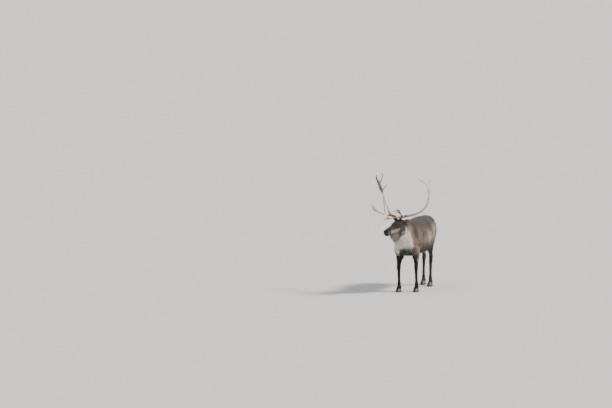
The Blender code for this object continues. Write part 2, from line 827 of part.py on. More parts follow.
def make_antler(side):
    """One antler, fused from its beam and branches and parted at its main forks."""
    whole = antler_piece(side, "beam")
    branches = [antler_piece(side, name) for name in ANTLERS[side] if name != "beam"]
    whole = unite(whole, branches, "MANIFOLD")
    root = antler_point(side, 0, 0, 0)
    whole = cut(whole, box((-0.1, -0.1, -0.1), (0.1, 0.1, 0), root, LEVEL_AXES), "MANIFOLD")
    for name, low, high in ANTLER_PARTS[side]:
        piece, whole = part_off(
            whole, f"{side}_{name}_cut", lambda grow: box(low, high, root, LEVEL_AXES, grow), "MANIFOLD"
        )
        place_node(piece, f"antler_{side}_{name}", "bone")
    place_node(whole, f"antler_{side}_base", "bone")


def seat(host, point, way, radius, depth=0.03):
    """Cuts a flat seat into the host, GAP below the flat root of a piece that grows along way."""
    made = bmesh.new()
    bmesh.ops.create_cone(made, cap_ends=True, segments=16, radius1=radius, radius2=radius, depth=depth)
    turn = way.to_track_quat("Z", "Y").to_matrix().to_4x4()
    made.transform(Matrix.Translation(point - way * GAP) @ turn @ Matrix.Translation((0, 0, depth / 2)))
    return cut(host, finish_mesh(made, "seat"))


# Where each pair of legs leaves the body: the plane rises from the inside out
LEG_REGIONS = {
    "fore": {"inside": (0.024, 0.572), "outside": (0.300, 0.672), "along": (-0.70, -0.22), "joint": CARPUS_Z},
    "hind": {"inside": (0.012, 0.602), "outside": (0.300, 0.780), "along": (0.235, 0.75), "joint": HOCK_Z},
}


def leg_region(kind, sign, grow):
    """A standing box with a sloping top, outside the middle plane."""
    place = LEG_REGIONS[kind]
    (x_in, z_in), (x_out, z_out) = place["inside"], place["outside"]
    corners = []
    for y in (place["along"][0] - grow, place["along"][1] + grow):
        outline = ((x_in - grow, -0.1), (x_out, -0.1), (x_out, z_out + grow), (x_in - grow, z_in + grow))
        corners.append([Vector((sign * x, y, z)) for x, z in outline])
    return finish_mesh(loft(corners), "leg_region")


def make_legs(body):
    for kind, place in LEG_REGIONS.items():
        for side, sign in SIGN.items():
            leg, body = part_off(body, f"{kind}_{side}_leg", lambda grow: leg_region(kind, sign, grow))
            leg = cut(leg, box((-FAR, -FAR, -0.1), (FAR, FAR, HOOF_HEIGHT + GAP)))
            for which in ("outer", "inner"):
                leg = seat(leg, dewclaw_root(kind, side, which), DEWCLAW_WAY, 0.0158)
                place_node(dewclaw_solid(kind, side, which), f"dewclaw_{kind}_{side}_{which}", "hoof")
                place_node(claw_solid(kind, side, which), f"hoof_{kind}_{side}_{which}", "hoof")
            lower, upper = part_off(
                leg, f"{kind}_{side}_lower",
                lambda grow: box((-FAR, -FAR, -0.1), (FAR, FAR, place["joint"]), grow=grow),
            )
            place_node(upper, f"leg_{kind}_{side}_upper", "brown_coat")
            place_node(lower, f"leg_{kind}_{side}_lower", "dark_coat")
    return body


# The mane's outline at the tips of its locks: x, y, top, underside, half width
MANE = [
    (0.000, -0.440, 1.110, 0.62, 0.150),
    (0.000, -0.520, 1.130, 0.61, 0.160),
    (-0.004, -0.600, 1.140, 0.61, 0.155),
    (-0.008, -0.680, 1.160, 0.64, 0.140),
    (-0.014, -0.740, 1.190, 0.69, 0.122),
    (-0.024, -0.790, 1.195, 0.78, 0.100),
    (-0.035, -0.835, 1.180, 0.87, 0.075),
]
# How far the solid core reaches from the neck towards the tips
CORE_SHARE = 0.42
CORE_WIDEST = 0.56
# Rows of locks round the neck: angle from level down to the throat, count, length, width
LOCK_ROWS = [
    (50, 4, 0.120, 0.046),
    (24, 5, 0.150, 0.052),
    (-2, 5, 0.165, 0.054),
    (-28, 5, 0.175, 0.056),
    (-54, 6, 0.170, 0.052),
    (-80, 6, 0.165, 0.048),
]
LOCK_REACH = (-0.535, -0.815)
LOCK_THICK = 0.26
LOCK_JOINTS = 4
LOCK_SUNK = 0.024
FALL = Vector((0, 0.30, -1.0))


def mane_core_row(y):
    """The core's section at a place along the neck: x, top, underside, half width."""
    table = [
        [n + (m - n) * CORE_SHARE for n, m in zip(neck_row(row[1]), (row[0], *row[2:]))]
        for row in MANE
    ]
    stations = [row[1] for row in MANE]
    for i in range(len(stations) - 1):
        if y >= stations[i + 1]:
            share = (stations[i] - y) / (stations[i] - stations[i + 1])
            return [a + (b - a) * share for a, b in zip(table[i], table[i + 1])]
    return table[-1]


def neck_row(y):
    """The bare neck's section at a place along it: x, top, underside, half width."""
    for a, b in zip(NECK, NECK[1:]):
        if y >= b[1]:
            share = max(0.0, (a[1] - y) / (a[1] - b[1]))
            return [p + (q - p) * share for p, q in zip((a[0], *a[2:]), (b[0], *b[2:]))]
    return [NECK[-1][0], *NECK[-1][2:]]


def mane_core():
    rings = []
    for i in range(19):
        y = MANE[0][1] + (MANE[-1][1] - MANE[0][1]) * i / 18
        x, top, under, half = mane_core_row(y)
        middle = under + (top - under) * CORE_WIDEST
        centre = Vector((x, y, middle))
        above, below = UPRIGHT * (top - middle), UPRIGHT * (under - middle)
        rings.append(oval(centre, Vector((half, 0, 0)), above, below, 24))
    return finish_mesh(loft(rings), "mane_core")


def core_surface(y, angle, sign):
    """A point on the core and the way out of it."""
    x, top, under, half = mane_core_row(y)
    middle = under + (top - under) * CORE_WIDEST
    tall = top - middle if angle > 0 else middle - under
    c, s = math.cos(angle), math.sin(angle)
    out = Vector((sign * c / half, 0, s / tall)).normalized()
    return Vector((x + sign * half * c, y, middle + tall * s)), out


def lock(root, out, way, length, width, droop, name):
    """One flat lock: it rises from under the surface, bends over along the lie and tapers."""
    rows = []
    place = root - out * LOCK_SUNK
    heading = (out * 0.9 + way).normalized()
    step = length / LOCK_JOINTS
    for i in range(LOCK_JOINTS + 1):
        share = i / LOCK_JOINTS
        half = 0.5 * width * (0.62 + 1.25 * share - 1.79 * share**2)
        half = max(half, 0.0022)
        rows.append((*place, half, max(half * LOCK_THICK, 0.0016)))
        bend = min(1.0, 0.30 + share)
        heading = (heading * (1 - bend) + (way + Vector((0, 0, -droop)) + out * 0.10) * bend).normalized()
        place = place + heading * step
    flat = out.cross(way).normalized()
    return finish_mesh(sweep(rows, 4, flat), name)


def mane_locks():
    """Rows of overlapping locks from the crest down to the throat and the chest."""
    draw = random.Random(11)
    locks = []
    for row, (degrees, count, length, width) in enumerate(LOCK_ROWS):
        for sign in SIGN.values():
            for i in range(count):
                share = (i + 0.5 + draw.uniform(-0.22, 0.22) + 0.25 * (row % 2)) / (count + 0.25)
                y = LOCK_REACH[0] + (LOCK_REACH[1] - LOCK_REACH[0]) * share
                angle = math.radians(degrees + draw.uniform(-6, 6))
                root, out = core_surface(y, angle, sign)
                way = (FALL + Vector((sign * draw.uniform(-0.10, 0.10), draw.uniform(-0.14, 0.14), 0)))
                way = (way - out * way.dot(out) * 0.8).normalized()
                size = draw.uniform(0.82, 1.12)
                name = f"lock_{row}_{i}_{sign}"
                locks.append(lock(root, out, way, length * size, width * draw.uniform(0.9, 1.15), 0.35, name))
    return locks


TAIL_LOCKS = 9


def tail_locks():
    """White hair that hangs from the sides, the back and the end of the tail."""
    draw = random.Random(5)
    locks = []
    for i in range(TAIL_LOCKS):
        turn = math.pi * (i / (TAIL_LOCKS - 1))
        out = Vector((math.cos(turn), math.sin(turn), 0))
        drop = -0.045 - 0.040 * (i % 3)
        root = TAIL_ROOT + Vector((out.x * 0.026, 0.058 + out.y * 0.016, drop))
        length = 0.085 * draw.uniform(0.85, 1.1)
        locks.append(lock(root, out, Vector((0, 0.05, -1)), length, 0.026, 0.2, f"tail_lock_{i}"))
    return locks


HEAD_REGION = ((-0.4, 0.022, -0.185), (0.4, 0.8, 0.4))


def head_region(grow):
    """The box in front of the occiput and above the throat that holds the head."""
    return box(*HEAD_REGION, OCCIPUT, LEVEL_AXES, grow)


def mouth_cutter():
    """A thin blade bent round the muzzle, which leaves the line of the mouth."""
    half_path = [
        (0.285, -0.026, 0.0500),
        (0.310, -0.033, 0.0505),
        (0.345, -0.038, 0.0530),
        (0.380, -0.040, 0.0535),
        (0.405, -0.038, 0.0455),
        (0.420, -0.035, 0.0260),
    ]
    path = half_path + [(0.424, -0.034, 0.0)] + [(a, r, -o) for a, r, o in reversed(half_path)]
    rings = []
    points = [on_head(*row) for row in path]
    for i, point in enumerate(points):
        along = (points[min(i + 1, len(points) - 1)] - points[max(i - 1, 0)]).normalized()
        inward = along.cross(RISE).normalized()
        rings.append([point + inward * 0.008 + RISE * 0.0002, point - inward * 0.012 + RISE * 0.0030,
                      point - inward * 0.012 - RISE * 0.0030])
    return finish_mesh(loft(rings), "mouth")


def make_head():
    head = fuse(head_solid(), "head_cast", HEAD_VOXEL, HEAD_TRIANGLES, 6)
    head, rest = part_off(head, "head_cut", head_region)
    bpy.data.objects.remove(rest, do_unlink=True)
    head = cut(head, box((-FAR, -2 * FAR, pedicle_top(1).z), (FAR, 0, 2)))
    head = cut(head, mouth_cutter())
    for side, sign in SIGN.items():
        inward = (ALONG + OUT * sign * 0.5).normalized()
        across = (OUT - ALONG * sign * 0.5).normalized()
        spot = on_head(0.407, 0.010, sign * 0.030)
        nostril = ball("nostril", spot, (0.013, 0.010, 0.0065), (inward, across, RISE), 12, 8)
        head = cut(head, nostril)
        centre = on_head(EYE_PLACE[0], EYE_PLACE[1], sign * EYE_PLACE[2])
        eye = ball(f"eye_{side}", centre, (EYE_RADIUS,) * 3, HEAD_AXES, 12, 8)
        socket = ball("socket", centre, (EYE_RADIUS + GAP,) * 3, HEAD_AXES, 12, 8)
        opening = ball("lids", on_head(EYE_PLACE[0], EYE_PLACE[1], sign * (EYE_PLACE[2] + 0.0190)),
                       (0.0165, 0.014, 0.0085), HEAD_AXES, 12, 6)
        head = cut(head, opening)
        head = cut(head, socket)
        place_node(eye, f"eye_{side}", "eye")
        root, along, facing = ear_axes(side)
        head = seat(head, root, along, 0.0260, 0.05)
        place_node(ear_solid(side), f"ear_{side}", "brown_coat")
    place_node(head, "head", "dark_coat")


WORLD_AXES = (Vector((1, 0, 0)), Vector((0, 1, 0)), UPRIGHT)
# Masses over the trunk: x, y, z, then the three radii
MASSES = {
    "hip": (0.088, 0.395, 1.055, 0.062, 0.085, 0.070),
    "haunch": (0.085, 0.450, 0.900, 0.078, 0.130, 0.170),
    "shoulder": (0.118, -0.420, 0.860, 0.080, 0.120, 0.190),
}


def haunches():
    """The hips, haunches and shoulders that stand out of the trunk on both sides."""
    return [
        ball(f"{name}_{side}", Vector((sign * x, y, z)), radii, WORLD_AXES)
        for name, (x, y, z, *radii) in MASSES.items()
        for side, sign in SIGN.items()
    ]


def make_body():
    forms = [trunk_solid(), neck_solid(), mane_core()] + haunches()
    forms += [leg_solid(kind, side) for kind in ("fore", "hind") for side in SIGN]
    body = fuse(forms, "body_cast", BODY_VOXEL, BODY_TRIANGLES, 4)
    body = unite(body, mane_locks())
    body = make_legs(body)
    spare, body = part_off(body, "face_space", head_region)
    bpy.data.objects.remove(spare, do_unlink=True)
    neck, torso = part_off(
        body, "neck_cut", lambda grow: box((-FAR, -2 * FAR, 0.3), (FAR, NECK_PLANE_Y, 1.5), grow=grow)
    )
    for side in SIGN:
        neck = cut(neck, ear_space(side))
    torso = seat(torso, TAIL_ROOT, TAIL_WAY, 0.044, 0.08)
    place_node(neck, "neck", "white_coat")
    place_node(torso, "torso", "brown_coat")
    place_node(unite(tail_solid(), tail_locks()), "tail", "white_coat")


make_body()
make_head()
make_antler("left")
make_antler("right")
for leftover in list(helpers.objects):
    bpy.data.objects.remove(leftover, do_unlink=True)
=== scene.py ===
import json
import math
import random

import bmesh
import bpy
import numpy as np
from mathutils import Matrix, Vector

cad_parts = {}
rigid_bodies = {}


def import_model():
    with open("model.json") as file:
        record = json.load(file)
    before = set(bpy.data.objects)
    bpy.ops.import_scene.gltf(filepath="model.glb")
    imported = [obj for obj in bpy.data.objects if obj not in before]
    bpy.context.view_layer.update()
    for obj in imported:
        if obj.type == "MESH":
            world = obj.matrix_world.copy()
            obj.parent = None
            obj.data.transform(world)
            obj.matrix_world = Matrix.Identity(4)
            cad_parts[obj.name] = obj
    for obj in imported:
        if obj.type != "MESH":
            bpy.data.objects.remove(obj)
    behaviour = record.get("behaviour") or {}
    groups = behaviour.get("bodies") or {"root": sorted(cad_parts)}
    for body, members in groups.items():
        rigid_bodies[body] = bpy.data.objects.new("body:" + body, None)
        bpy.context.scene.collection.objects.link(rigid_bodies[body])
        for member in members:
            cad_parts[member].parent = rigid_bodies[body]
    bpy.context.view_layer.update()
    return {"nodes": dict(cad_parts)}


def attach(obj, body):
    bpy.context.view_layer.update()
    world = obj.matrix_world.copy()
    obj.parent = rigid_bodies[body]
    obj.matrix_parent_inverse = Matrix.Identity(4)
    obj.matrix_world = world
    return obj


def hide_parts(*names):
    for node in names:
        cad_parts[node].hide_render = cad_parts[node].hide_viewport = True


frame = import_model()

scene = bpy.context.scene
up = Vector((0, 0, 1))

# The stance, in metres about the middle of the four feet; the animal faces -Y
stance = {
    "shift": Vector((-0.0041, 0.2664, 0.0)),
    "headTurn": math.radians(19),
    "antlerTurn": math.radians(12),
    "headPitch": math.radians(16),
    "occiput": Vector((-0.01, -0.70, 1.13)),
    "foreFoot": {"left": Vector((0.125, -0.386, 0)), "right": Vector((-0.125, -0.512, 0))},
    "hindFoot": {"left": Vector((0.09, 0.36, 0)), "right": Vector((-0.09, 0.53, 0))},
    "hoofHeight": 0.055,
}
sides = {"left": 1, "right": -1}
forwardFlat = Vector((-math.sin(stance["headTurn"]), -math.cos(stance["headTurn"]), 0))
outward = Vector((math.cos(stance["headTurn"]), -math.sin(stance["headTurn"]), 0))
along = forwardFlat * math.cos(stance["headPitch"]) - up * math.sin(stance["headPitch"])
rise = forwardFlat * math.sin(stance["headPitch"]) + up * math.cos(stance["headPitch"])
headAxes = (along, outward, rise)
antlerForward = Vector((-math.sin(stance["antlerTurn"]), -math.cos(stance["antlerTurn"]), 0))
antlerOut = Vector((math.cos(stance["antlerTurn"]), -math.sin(stance["antlerTurn"]), 0))
worldAxes = (Vector((1, 0, 0)), Vector((0, 1, 0)), up)


# Small tools
def smoothRows(rows, steps):
    # rows of numbers drawn out along a smooth curve
    table = np.array(rows, float)
    ends = np.vstack([table[0], table, table[-1]])
    found = []
    for i in range(len(table) - 1):
        p, q, r, s = ends[i:i + 4]
        for t in np.arange(steps) / steps:
            slope = t * (r - p) + t**2 * (2 * p - 5 * q + 4 * r - s) + t**3 * (3 * q - p - 3 * r + s)
            found.append(q + 0.5 * slope)
    found.append(table[-1])
    return found


def ovalRing(centre, across, above, below, count, power=2.0):
    points = []
    for i in range(count):
        angle = 2 * math.pi * i / count
        c, s = math.cos(angle), math.sin(angle)
        c = math.copysign(abs(c) ** (2 / power), c)
        s = math.copysign(abs(s) ** (2 / power), s)
        points.append(centre + across * c + (above * s if s > 0 else below * -s))
    return points


def loftRings(rings, name="form"):
    made = bmesh.new()
    grid = [[made.verts.new(point) for point in ring] for ring in rings]
    count = len(grid[0])
    for a, b in zip(grid, grid[1:]):
        for i in range(count):
            j = (i + 1) % count
            made.faces.new((a[i], a[j], b[j], b[i]))
    made.faces.new(list(reversed(grid[0])))
    made.faces.new(grid[-1])
    return meshFrom(made, name)


def meshFrom(made, name):
    made.normal_update()
    bmesh.ops.recalc_face_normals(made, faces=made.faces)
    mesh = bpy.data.meshes.new(name)
    made.to_mesh(mesh)
    made.free()
    return mesh


def objectFrom(mesh, name):
    obj = bpy.data.objects.new(name, mesh)
    scene.collection.objects.link(obj)
    return obj


def waysAcross(path, flat=None):
    # the middle and the two ways across at each row of a path; the width lies along `flat`
    points = [Vector(row[:3]) for row in path]
    across = Vector((1, 0, 0))
    for i, point in enumerate(points):
        heading = (points[min(i + 1, len(points) - 1)] - points[max(i - 1, 0)]).normalized()
        across = flat or across
        across = (across - heading * across.dot(heading)).normalized()
        yield point, across, heading.cross(across)


def sweepLimb(path, count, flat=None, name="limb"):
    # rows of x, y, z, half width, half thickness
    rings = [ovalRing(point, across * row[3], over * row[4], -over * row[4], count)
             for row, (point, across, over) in zip(path, waysAcross(path, flat))]
    return loftRings(rings, name)


def ballMesh(centre, radii, axes, segments=32, rings=20):
    made = bmesh.new()
    bmesh.ops.create_uvsphere(made, u_segments=segments, v_segments=rings, radius=1.0)
    turn = Matrix(axes).transposed().to_4x4()
    made.transform(Matrix.Translation(centre) @ turn @ Matrix.Diagonal((*radii, 1.0)))
    return meshFrom(made, "ball")


def applied(obj):
    # the object's mesh with its modifiers applied, and the modifiers removed
    graph = bpy.context.evaluated_depsgraph_get()
    mesh = bpy.data.meshes.new_from_object(obj.evaluated_get(graph))
    obj.modifiers.clear()
    obj.data = mesh
    return obj


def meltTogether(meshes, name, voxel, smoothing):
    # overlapping closed forms melted into one skin
    made = bmesh.new()
    for mesh in meshes:
        made.from_mesh(mesh)
        bpy.data.meshes.remove(mesh)
    obj = objectFrom(meshFrom(made, name), name)
    melt = obj.modifiers.new("melt", "REMESH")
    melt.mode = "VOXEL"
    melt.voxel_size = voxel
    soften = obj.modifiers.new("soften", "SMOOTH")
    soften.factor = 0.5
    soften.iterations = smoothing
    return applied(obj)


def thinOut(obj, triangles):
    obj.data.calc_loop_triangles()
    count = len(obj.data.loop_triangles)
    if count > triangles:
        thin = obj.modifiers.new("thin", "DECIMATE")
        thin.ratio = triangles / count
        applied(obj)
    return obj


def readPoints(mesh):
    place = np.empty(len(mesh.vertices) * 3)
    mesh.vertices.foreach_get("co", place)
    facing = np.empty(len(mesh.vertices) * 3)
    mesh.vertex_normals.foreach_get("vector", facing)
    return place.reshape(-1, 3), facing.reshape(-1, 3)


def writePoints(mesh, place):
    mesh.vertices.foreach_set("co", np.asarray(place, float).ravel())
    mesh.update()


def ramp(value, low, high):
    share = np.clip((value - low) / (high - low), 0.0, 1.0)
    return share * share * (3 - 2 * share)


def toward(now, goal, share):
    return now + (goal - now) * share


def bump(distance, width):
    return np.exp(-((distance / width) ** 2))


def ripple(place, scale, seed=0):
    # soft uneven numbers between about -1 and 1 over the surface
    draw = np.random.default_rng(seed)
    total = np.zeros(len(place))
    for _ in range(6):
        way = draw.normal(size=3)
        total += np.sin(place @ way / scale * 2.2 + draw.uniform(0, 6.28))
    return total / 3.0


def headSpace(place):
    # along the skull, up from the face, and out to the left
    local = place - np.array(stance["occiput"])
    return local @ np.array(along), local @ np.array(rise), local @ np.array(outward)


def onHead(a, r, o):
    return stance["occiput"] + along * a + rise * r + outward * o


def standPiece(obj, slot, *nodes):
    # moves a finished piece into the frame and lets it ride there
    obj.data.transform(Matrix.Translation(stance["shift"]))
    obj.data.shade_smooth()
    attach(obj, "root")
    if nodes:
        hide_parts(*nodes)


# Trunk, neck and head
trunk = {
    "rows": [  # y, top, underside, half width, height of the widest place
        (-0.6, 0.94, 0.76, 0.075, 0.5), (-0.56, 1.03, 0.66, 0.125, 0.5),
        (-0.48, 1.095, 0.605, 0.165, 0.48), (-0.38, 1.125, 0.585, 0.19, 0.47),
        (-0.25, 1.14, 0.58, 0.205, 0.47), (-0.08, 1.15, 0.578, 0.222, 0.48),
        (0.08, 1.168, 0.575, 0.235, 0.47), (0.2, 1.172, 0.592, 0.222, 0.48),
        (0.31, 1.158, 0.632, 0.19, 0.5), (0.41, 1.16, 0.665, 0.168, 0.52),
        (0.49, 1.135, 0.705, 0.14, 0.52), (0.56, 1.08, 0.76, 0.1, 0.52), (0.6, 1.01, 0.84, 0.05, 0.5),
    ],
    "masses": [  # x, y, z and the three radii of the hips, haunches and shoulders
        (0.088, 0.395, 1.055, 0.062, 0.085, 0.07), (0.085, 0.45, 0.9, 0.078, 0.13, 0.17),
        (0.118, -0.42, 0.86, 0.08, 0.12, 0.19), (0.07, -0.33, 1.01, 0.06, 0.06, 0.115),
        (0.12, -0.4, 0.69, 0.055, 0.1, 0.08), (0.11, 0.3, 0.76, 0.065, 0.09, 0.11),
    ],
    "voxel": 0.0072,
    "smoothing": 9,
}
neck = {
    "rows": [  # x, y, top, underside, half width
        (0, -0.38, 1.095, 0.66, 0.15), (0, -0.47, 1.12, 0.68, 0.145), (-0.002, -0.56, 1.13, 0.72, 0.132),
        (-0.006, -0.64, 1.145, 0.77, 0.116), (-0.012, -0.71, 1.185, 0.83, 0.1),
        (-0.022, -0.77, 1.195, 0.9, 0.085), (-0.034, -0.82, 1.18, 0.97, 0.065),
    ],
    "maneRows": [  # the same at the tips of the mane
        (0, -0.44, 1.11, 0.62, 0.15), (0, -0.52, 1.13, 0.61, 0.16), (-0.004, -0.6, 1.14, 0.61, 0.155),
        (-0.008, -0.68, 1.16, 0.64, 0.14), (-0.014, -0.74, 1.19, 0.69, 0.122),
        (-0.024, -0.79, 1.195, 0.78, 0.1), (-0.035, -0.835, 1.18, 0.87, 0.075),
    ],
    "coreShare": 0.46,
    "coreWidest": 0.56,
}
headForm = {
    "rows": [  # along, top, underside, half width
        (0, 0.076, -0.105, 0.066), (0.035, 0.088, -0.117, 0.076), (0.075, 0.092, -0.122, 0.079),
        (0.115, 0.088, -0.121, 0.078), (0.155, 0.078, -0.117, 0.073), (0.2, 0.066, -0.106, 0.062),
        (0.25, 0.057, -0.092, 0.052), (0.3, 0.052, -0.081, 0.047), (0.345, 0.051, -0.075, 0.049),
        (0.385, 0.047, -0.071, 0.051), (0.408, 0.036, -0.06, 0.045), (0.42, 0.018, -0.036, 0.028),
    ],
    "eye": (0.150, 0.030, 0.057),
    "eyeRadius": 0.0175,
    "pedicle": (0.062, 0.078, 0.046),
    "pedicleRadius": 0.021,
    "pedicleHeight": 0.038,
    "voxel": 0.0024,
    "smoothing": 8,
    "triangles": 62000,
}


def ringBetween(x, y, top, under, half, widest, count, power):
    middle = under + (top - under) * widest
    centre = Vector((x, y, middle))
    return ovalRing(centre, Vector((half, 0, 0)), up * (top - middle), up * (under - middle), count, power)


def rowAt(rows, y):
    table = np.array(rows)
    order = np.argsort(table[:, 1])
    table = table[order]
    return [float(np.interp(y, table[:, 1], table[:, k])) for k in (0, 2, 3, 4)]


def trunkForms():
    rings = [ringBetween(0, y, top, under, half, widest, 40, 2.25)
             for y, top, under, half, widest in smoothRows(trunk["rows"], 5)]
    forms = [loftRings(rings)]
    rings = [ringBetween(x, y, top, under, half, 0.5, 32, 2.0)
             for x, y, top, under, half in smoothRows(neck["rows"], 5)]
    forms.append(loftRings(rings))
    rings = []
    for y in np.linspace(neck["maneRows"][0][1], neck["maneRows"][-1][1], 25):
        bare, full = rowAt(neck["rows"], y), rowAt(neck["maneRows"], y)
        x, top, under, half = [p + (q - p) * neck["coreShare"] for p, q in zip(bare, full)]
        rings.append(ringBetween(x, y, top, under, half, neck["coreWidest"], 32, 2.0))
    forms.append(loftRings(rings))
    for x, y, z, *radii in trunk["masses"]:
        for sign in sides.values():
            forms.append(ballMesh(Vector((sign * x, y, z)), radii, worldAxes))
    return forms


# Legs: height, offset back from the foot, half width across, half width along
legForm = {
    "fore": [
        (0.052, -0.002, 0.044, 0.052), (0.075, 0.008, 0.032, 0.038), (0.1, 0.02, 0.027, 0.031),
        (0.13, 0.03, 0.03, 0.036), (0.165, 0.024, 0.024, 0.03), (0.25, 0.018, 0.023, 0.028),
        (0.33, 0.014, 0.026, 0.031), (0.385, 0.008, 0.032, 0.037), (0.43, 0.01, 0.032, 0.038),
        (0.5, 0.022, 0.04, 0.05), (0.57, 0.035, 0.052, 0.068), (0.64, 0.04, 0.064, 0.095),
        (0.74, 0, 0.072, 0.12), (0.86, -0.01, 0.066, 0.12), (0.98, 0.04, 0.05, 0.11),
        (1.06, 0.08, 0.032, 0.08),
    ],
    "hind": [
        (0.052, -0.002, 0.042, 0.05), (0.075, 0.008, 0.031, 0.037), (0.1, 0.02, 0.026, 0.031),
        (0.13, 0.03, 0.029, 0.036), (0.17, 0.026, 0.024, 0.031), (0.27, 0.03, 0.023, 0.032),
        (0.37, 0.036, 0.026, 0.036), (0.44, 0.046, 0.031, 0.046), (0.49, 0.05, 0.031, 0.048),
        (0.53, 0.034, 0.032, 0.05), (0.59, -0.004, 0.044, 0.07), (0.66, -0.05, 0.062, 0.105),
        (0.74, -0.06, 0.076, 0.135), (0.84, -0.04, 0.082, 0.145), (0.94, -0.01, 0.078, 0.135),
        (1.04, 0.01, 0.06, 0.1),
    ],
    "stance": {"fore": Vector((0.105, -0.450, 0)), "hind": Vector((0.092, 0.425, 0))},
    "fade": {"fore": (0.42, 0.85), "hind": (0.47, 0.90)},
}


def legPlace(kind, side, height):
    foot = stance[kind + "Foot"][side]
    target = legForm["stance"][kind].copy()
    target.x *= sides[side]
    place = foot.lerp(target, float(ramp(height, *legForm["fade"][kind])))
    place.z = height
    return place


def legMesh(kind, side):
    rings = []
    for height, back, across, deep in smoothRows(legForm[kind], 6):
        centre = legPlace(kind, side, height) + Vector((0, back, 0))
        half = Vector((0, deep, 0))
        rings.append(ovalRing(centre, Vector((across, 0, 0)), half, -half, 24))
    return loftRings(rings)


def pedicleTop(sign):
    a, r, o = headForm["pedicle"]
    return onHead(a, r, sign * o) + up * headForm["pedicleHeight"]


# Ears: share of the length, half width, depth of the cup
ear = {
    "length": 0.125,
    "root": (0.022, 0.040, 0.062),
    "wall": 0.0055,
    "rows": [
        (-0.18, 0.012, 0.015), (0, 0.016, 0.016), (0.15, 0.0215, 0.018), (0.35, 0.03, 0.02),
        (0.55, 0.032, 0.018), (0.75, 0.025, 0.012), (0.9, 0.015, 0.006), (1, 0.0055, 0.002),
    ],
}


def earAxes(side):
    sign = sides[side]
    a, r, o = ear["root"]
    heading = (outward * sign * 0.88 - forwardFlat * 0.34 + up * 0.24).normalized()
    facing = forwardFlat * 0.75 + outward * sign * 0.50 - up * 0.15
    facing = (facing - heading * facing.dot(heading)).normalized()
    return onHead(a, r, sign * o), heading, facing


def earMesh(side):
    root, heading, facing = earAxes(side)
    wide = heading.cross(facing)
    rings = []
    for share, half, cup in smoothRows(ear["rows"], 5):
        centre = root + heading * (ear["length"] * share)
        wall = min(ear["wall"], half * 0.6)
        ring = []
        for i in range(17):
            angle = math.pi * i / 16
            deep = cup * math.sin(angle) + wall * (0.4 + 0.6 * math.sin(angle))
            ring.append(centre + wide * (half * math.cos(angle)) - facing * deep)
        for i in range(13):
            angle = math.pi * (12 - i) / 12
            deep = cup * math.sin(angle) * 0.96
            ring.append(centre + wide * ((half - 0.5 * wall) * math.cos(angle)) - facing * deep)
        rings.append(ring)
    return loftRings(rings)


def headForms():
    rings = []
    for a, top, under, half in smoothRows(headForm["rows"], 6):
        middle = (top + under) / 2
        rings.append(ovalRing(onHead(a, middle, 0), outward * half, rise * (top - middle),
                              rise * (under - middle), 40, 2.3))
    forms = [loftRings(rings)]
    for side, s in sides.items():
        a, r, o = headForm["eye"]
        lumps = [
            (onHead(a - 0.004, r + 0.012, s * (o - 0.010)), (0.034, 0.018, 0.020)),  # brow
            (onHead(0.075, -0.055, s * 0.042), (0.065, 0.040, 0.055)),  # cheek
            (onHead(0.392, 0.014, s * 0.026), (0.026, 0.022, 0.022)),  # wing of the nostril
            (onHead(0.375, -0.020, s * 0.026), (0.036, 0.024, 0.022)),  # upper lip
            (onHead(0.215, 0.002, s * 0.046), (0.050, 0.010, 0.016)),  # ridge under the eye
            (onHead(0.300, 0.030, s * 0.020), (0.070, 0.022, 0.018)),  # bridge of the nose
        ]
        forms += [ballMesh(centre, radii, headAxes) for centre, radii in lumps]
        a, r, o = headForm["pedicle"]
        radius = headForm["pedicleRadius"]
        ends = [onHead(a, r - 0.03, s * o), pedicleTop(s) - up * 0.002]
        forms.append(sweepLimb([(*end, radius, radius) for end in ends], 24))
        forms.append(earMesh(side))
    forms.append(ballMesh(onHead(0.368, -0.056, 0), (0.034, 0.030, 0.018), headAxes))
    return forms


face = {
    "mouth": [(0.285, -0.026), (0.310, -0.033), (0.345, -0.038), (0.380, -0.040), (0.405, -0.038),
              (0.428, -0.035)],
    "mouthDepth": 0.0050,
    "mouthWidth": 0.0028,
    "lip": 0.0016,
    "nostril": (0.404, 0.010, 0.032),
    "nostrilDepth": 0.011,
    "coatDepth": 0.0035,
}


def lineDistance(a, r, line):
    # distance in the side view from each point to a line of points
    best = np.full(len(a), 9.0)
    for (a0, r0), (a1, r1) in zip(line, line[1:]):
        length = (a1 - a0) ** 2 + (r1 - r0) ** 2
        share = np.clip(((a - a0) * (a1 - a0) + (r - r0) * (r1 - r0)) / length, 0, 1)
        best = np.minimum(best, np.hypot(a - a0 - share * (a1 - a0), r - r0 - share * (r1 - r0)))
    return best


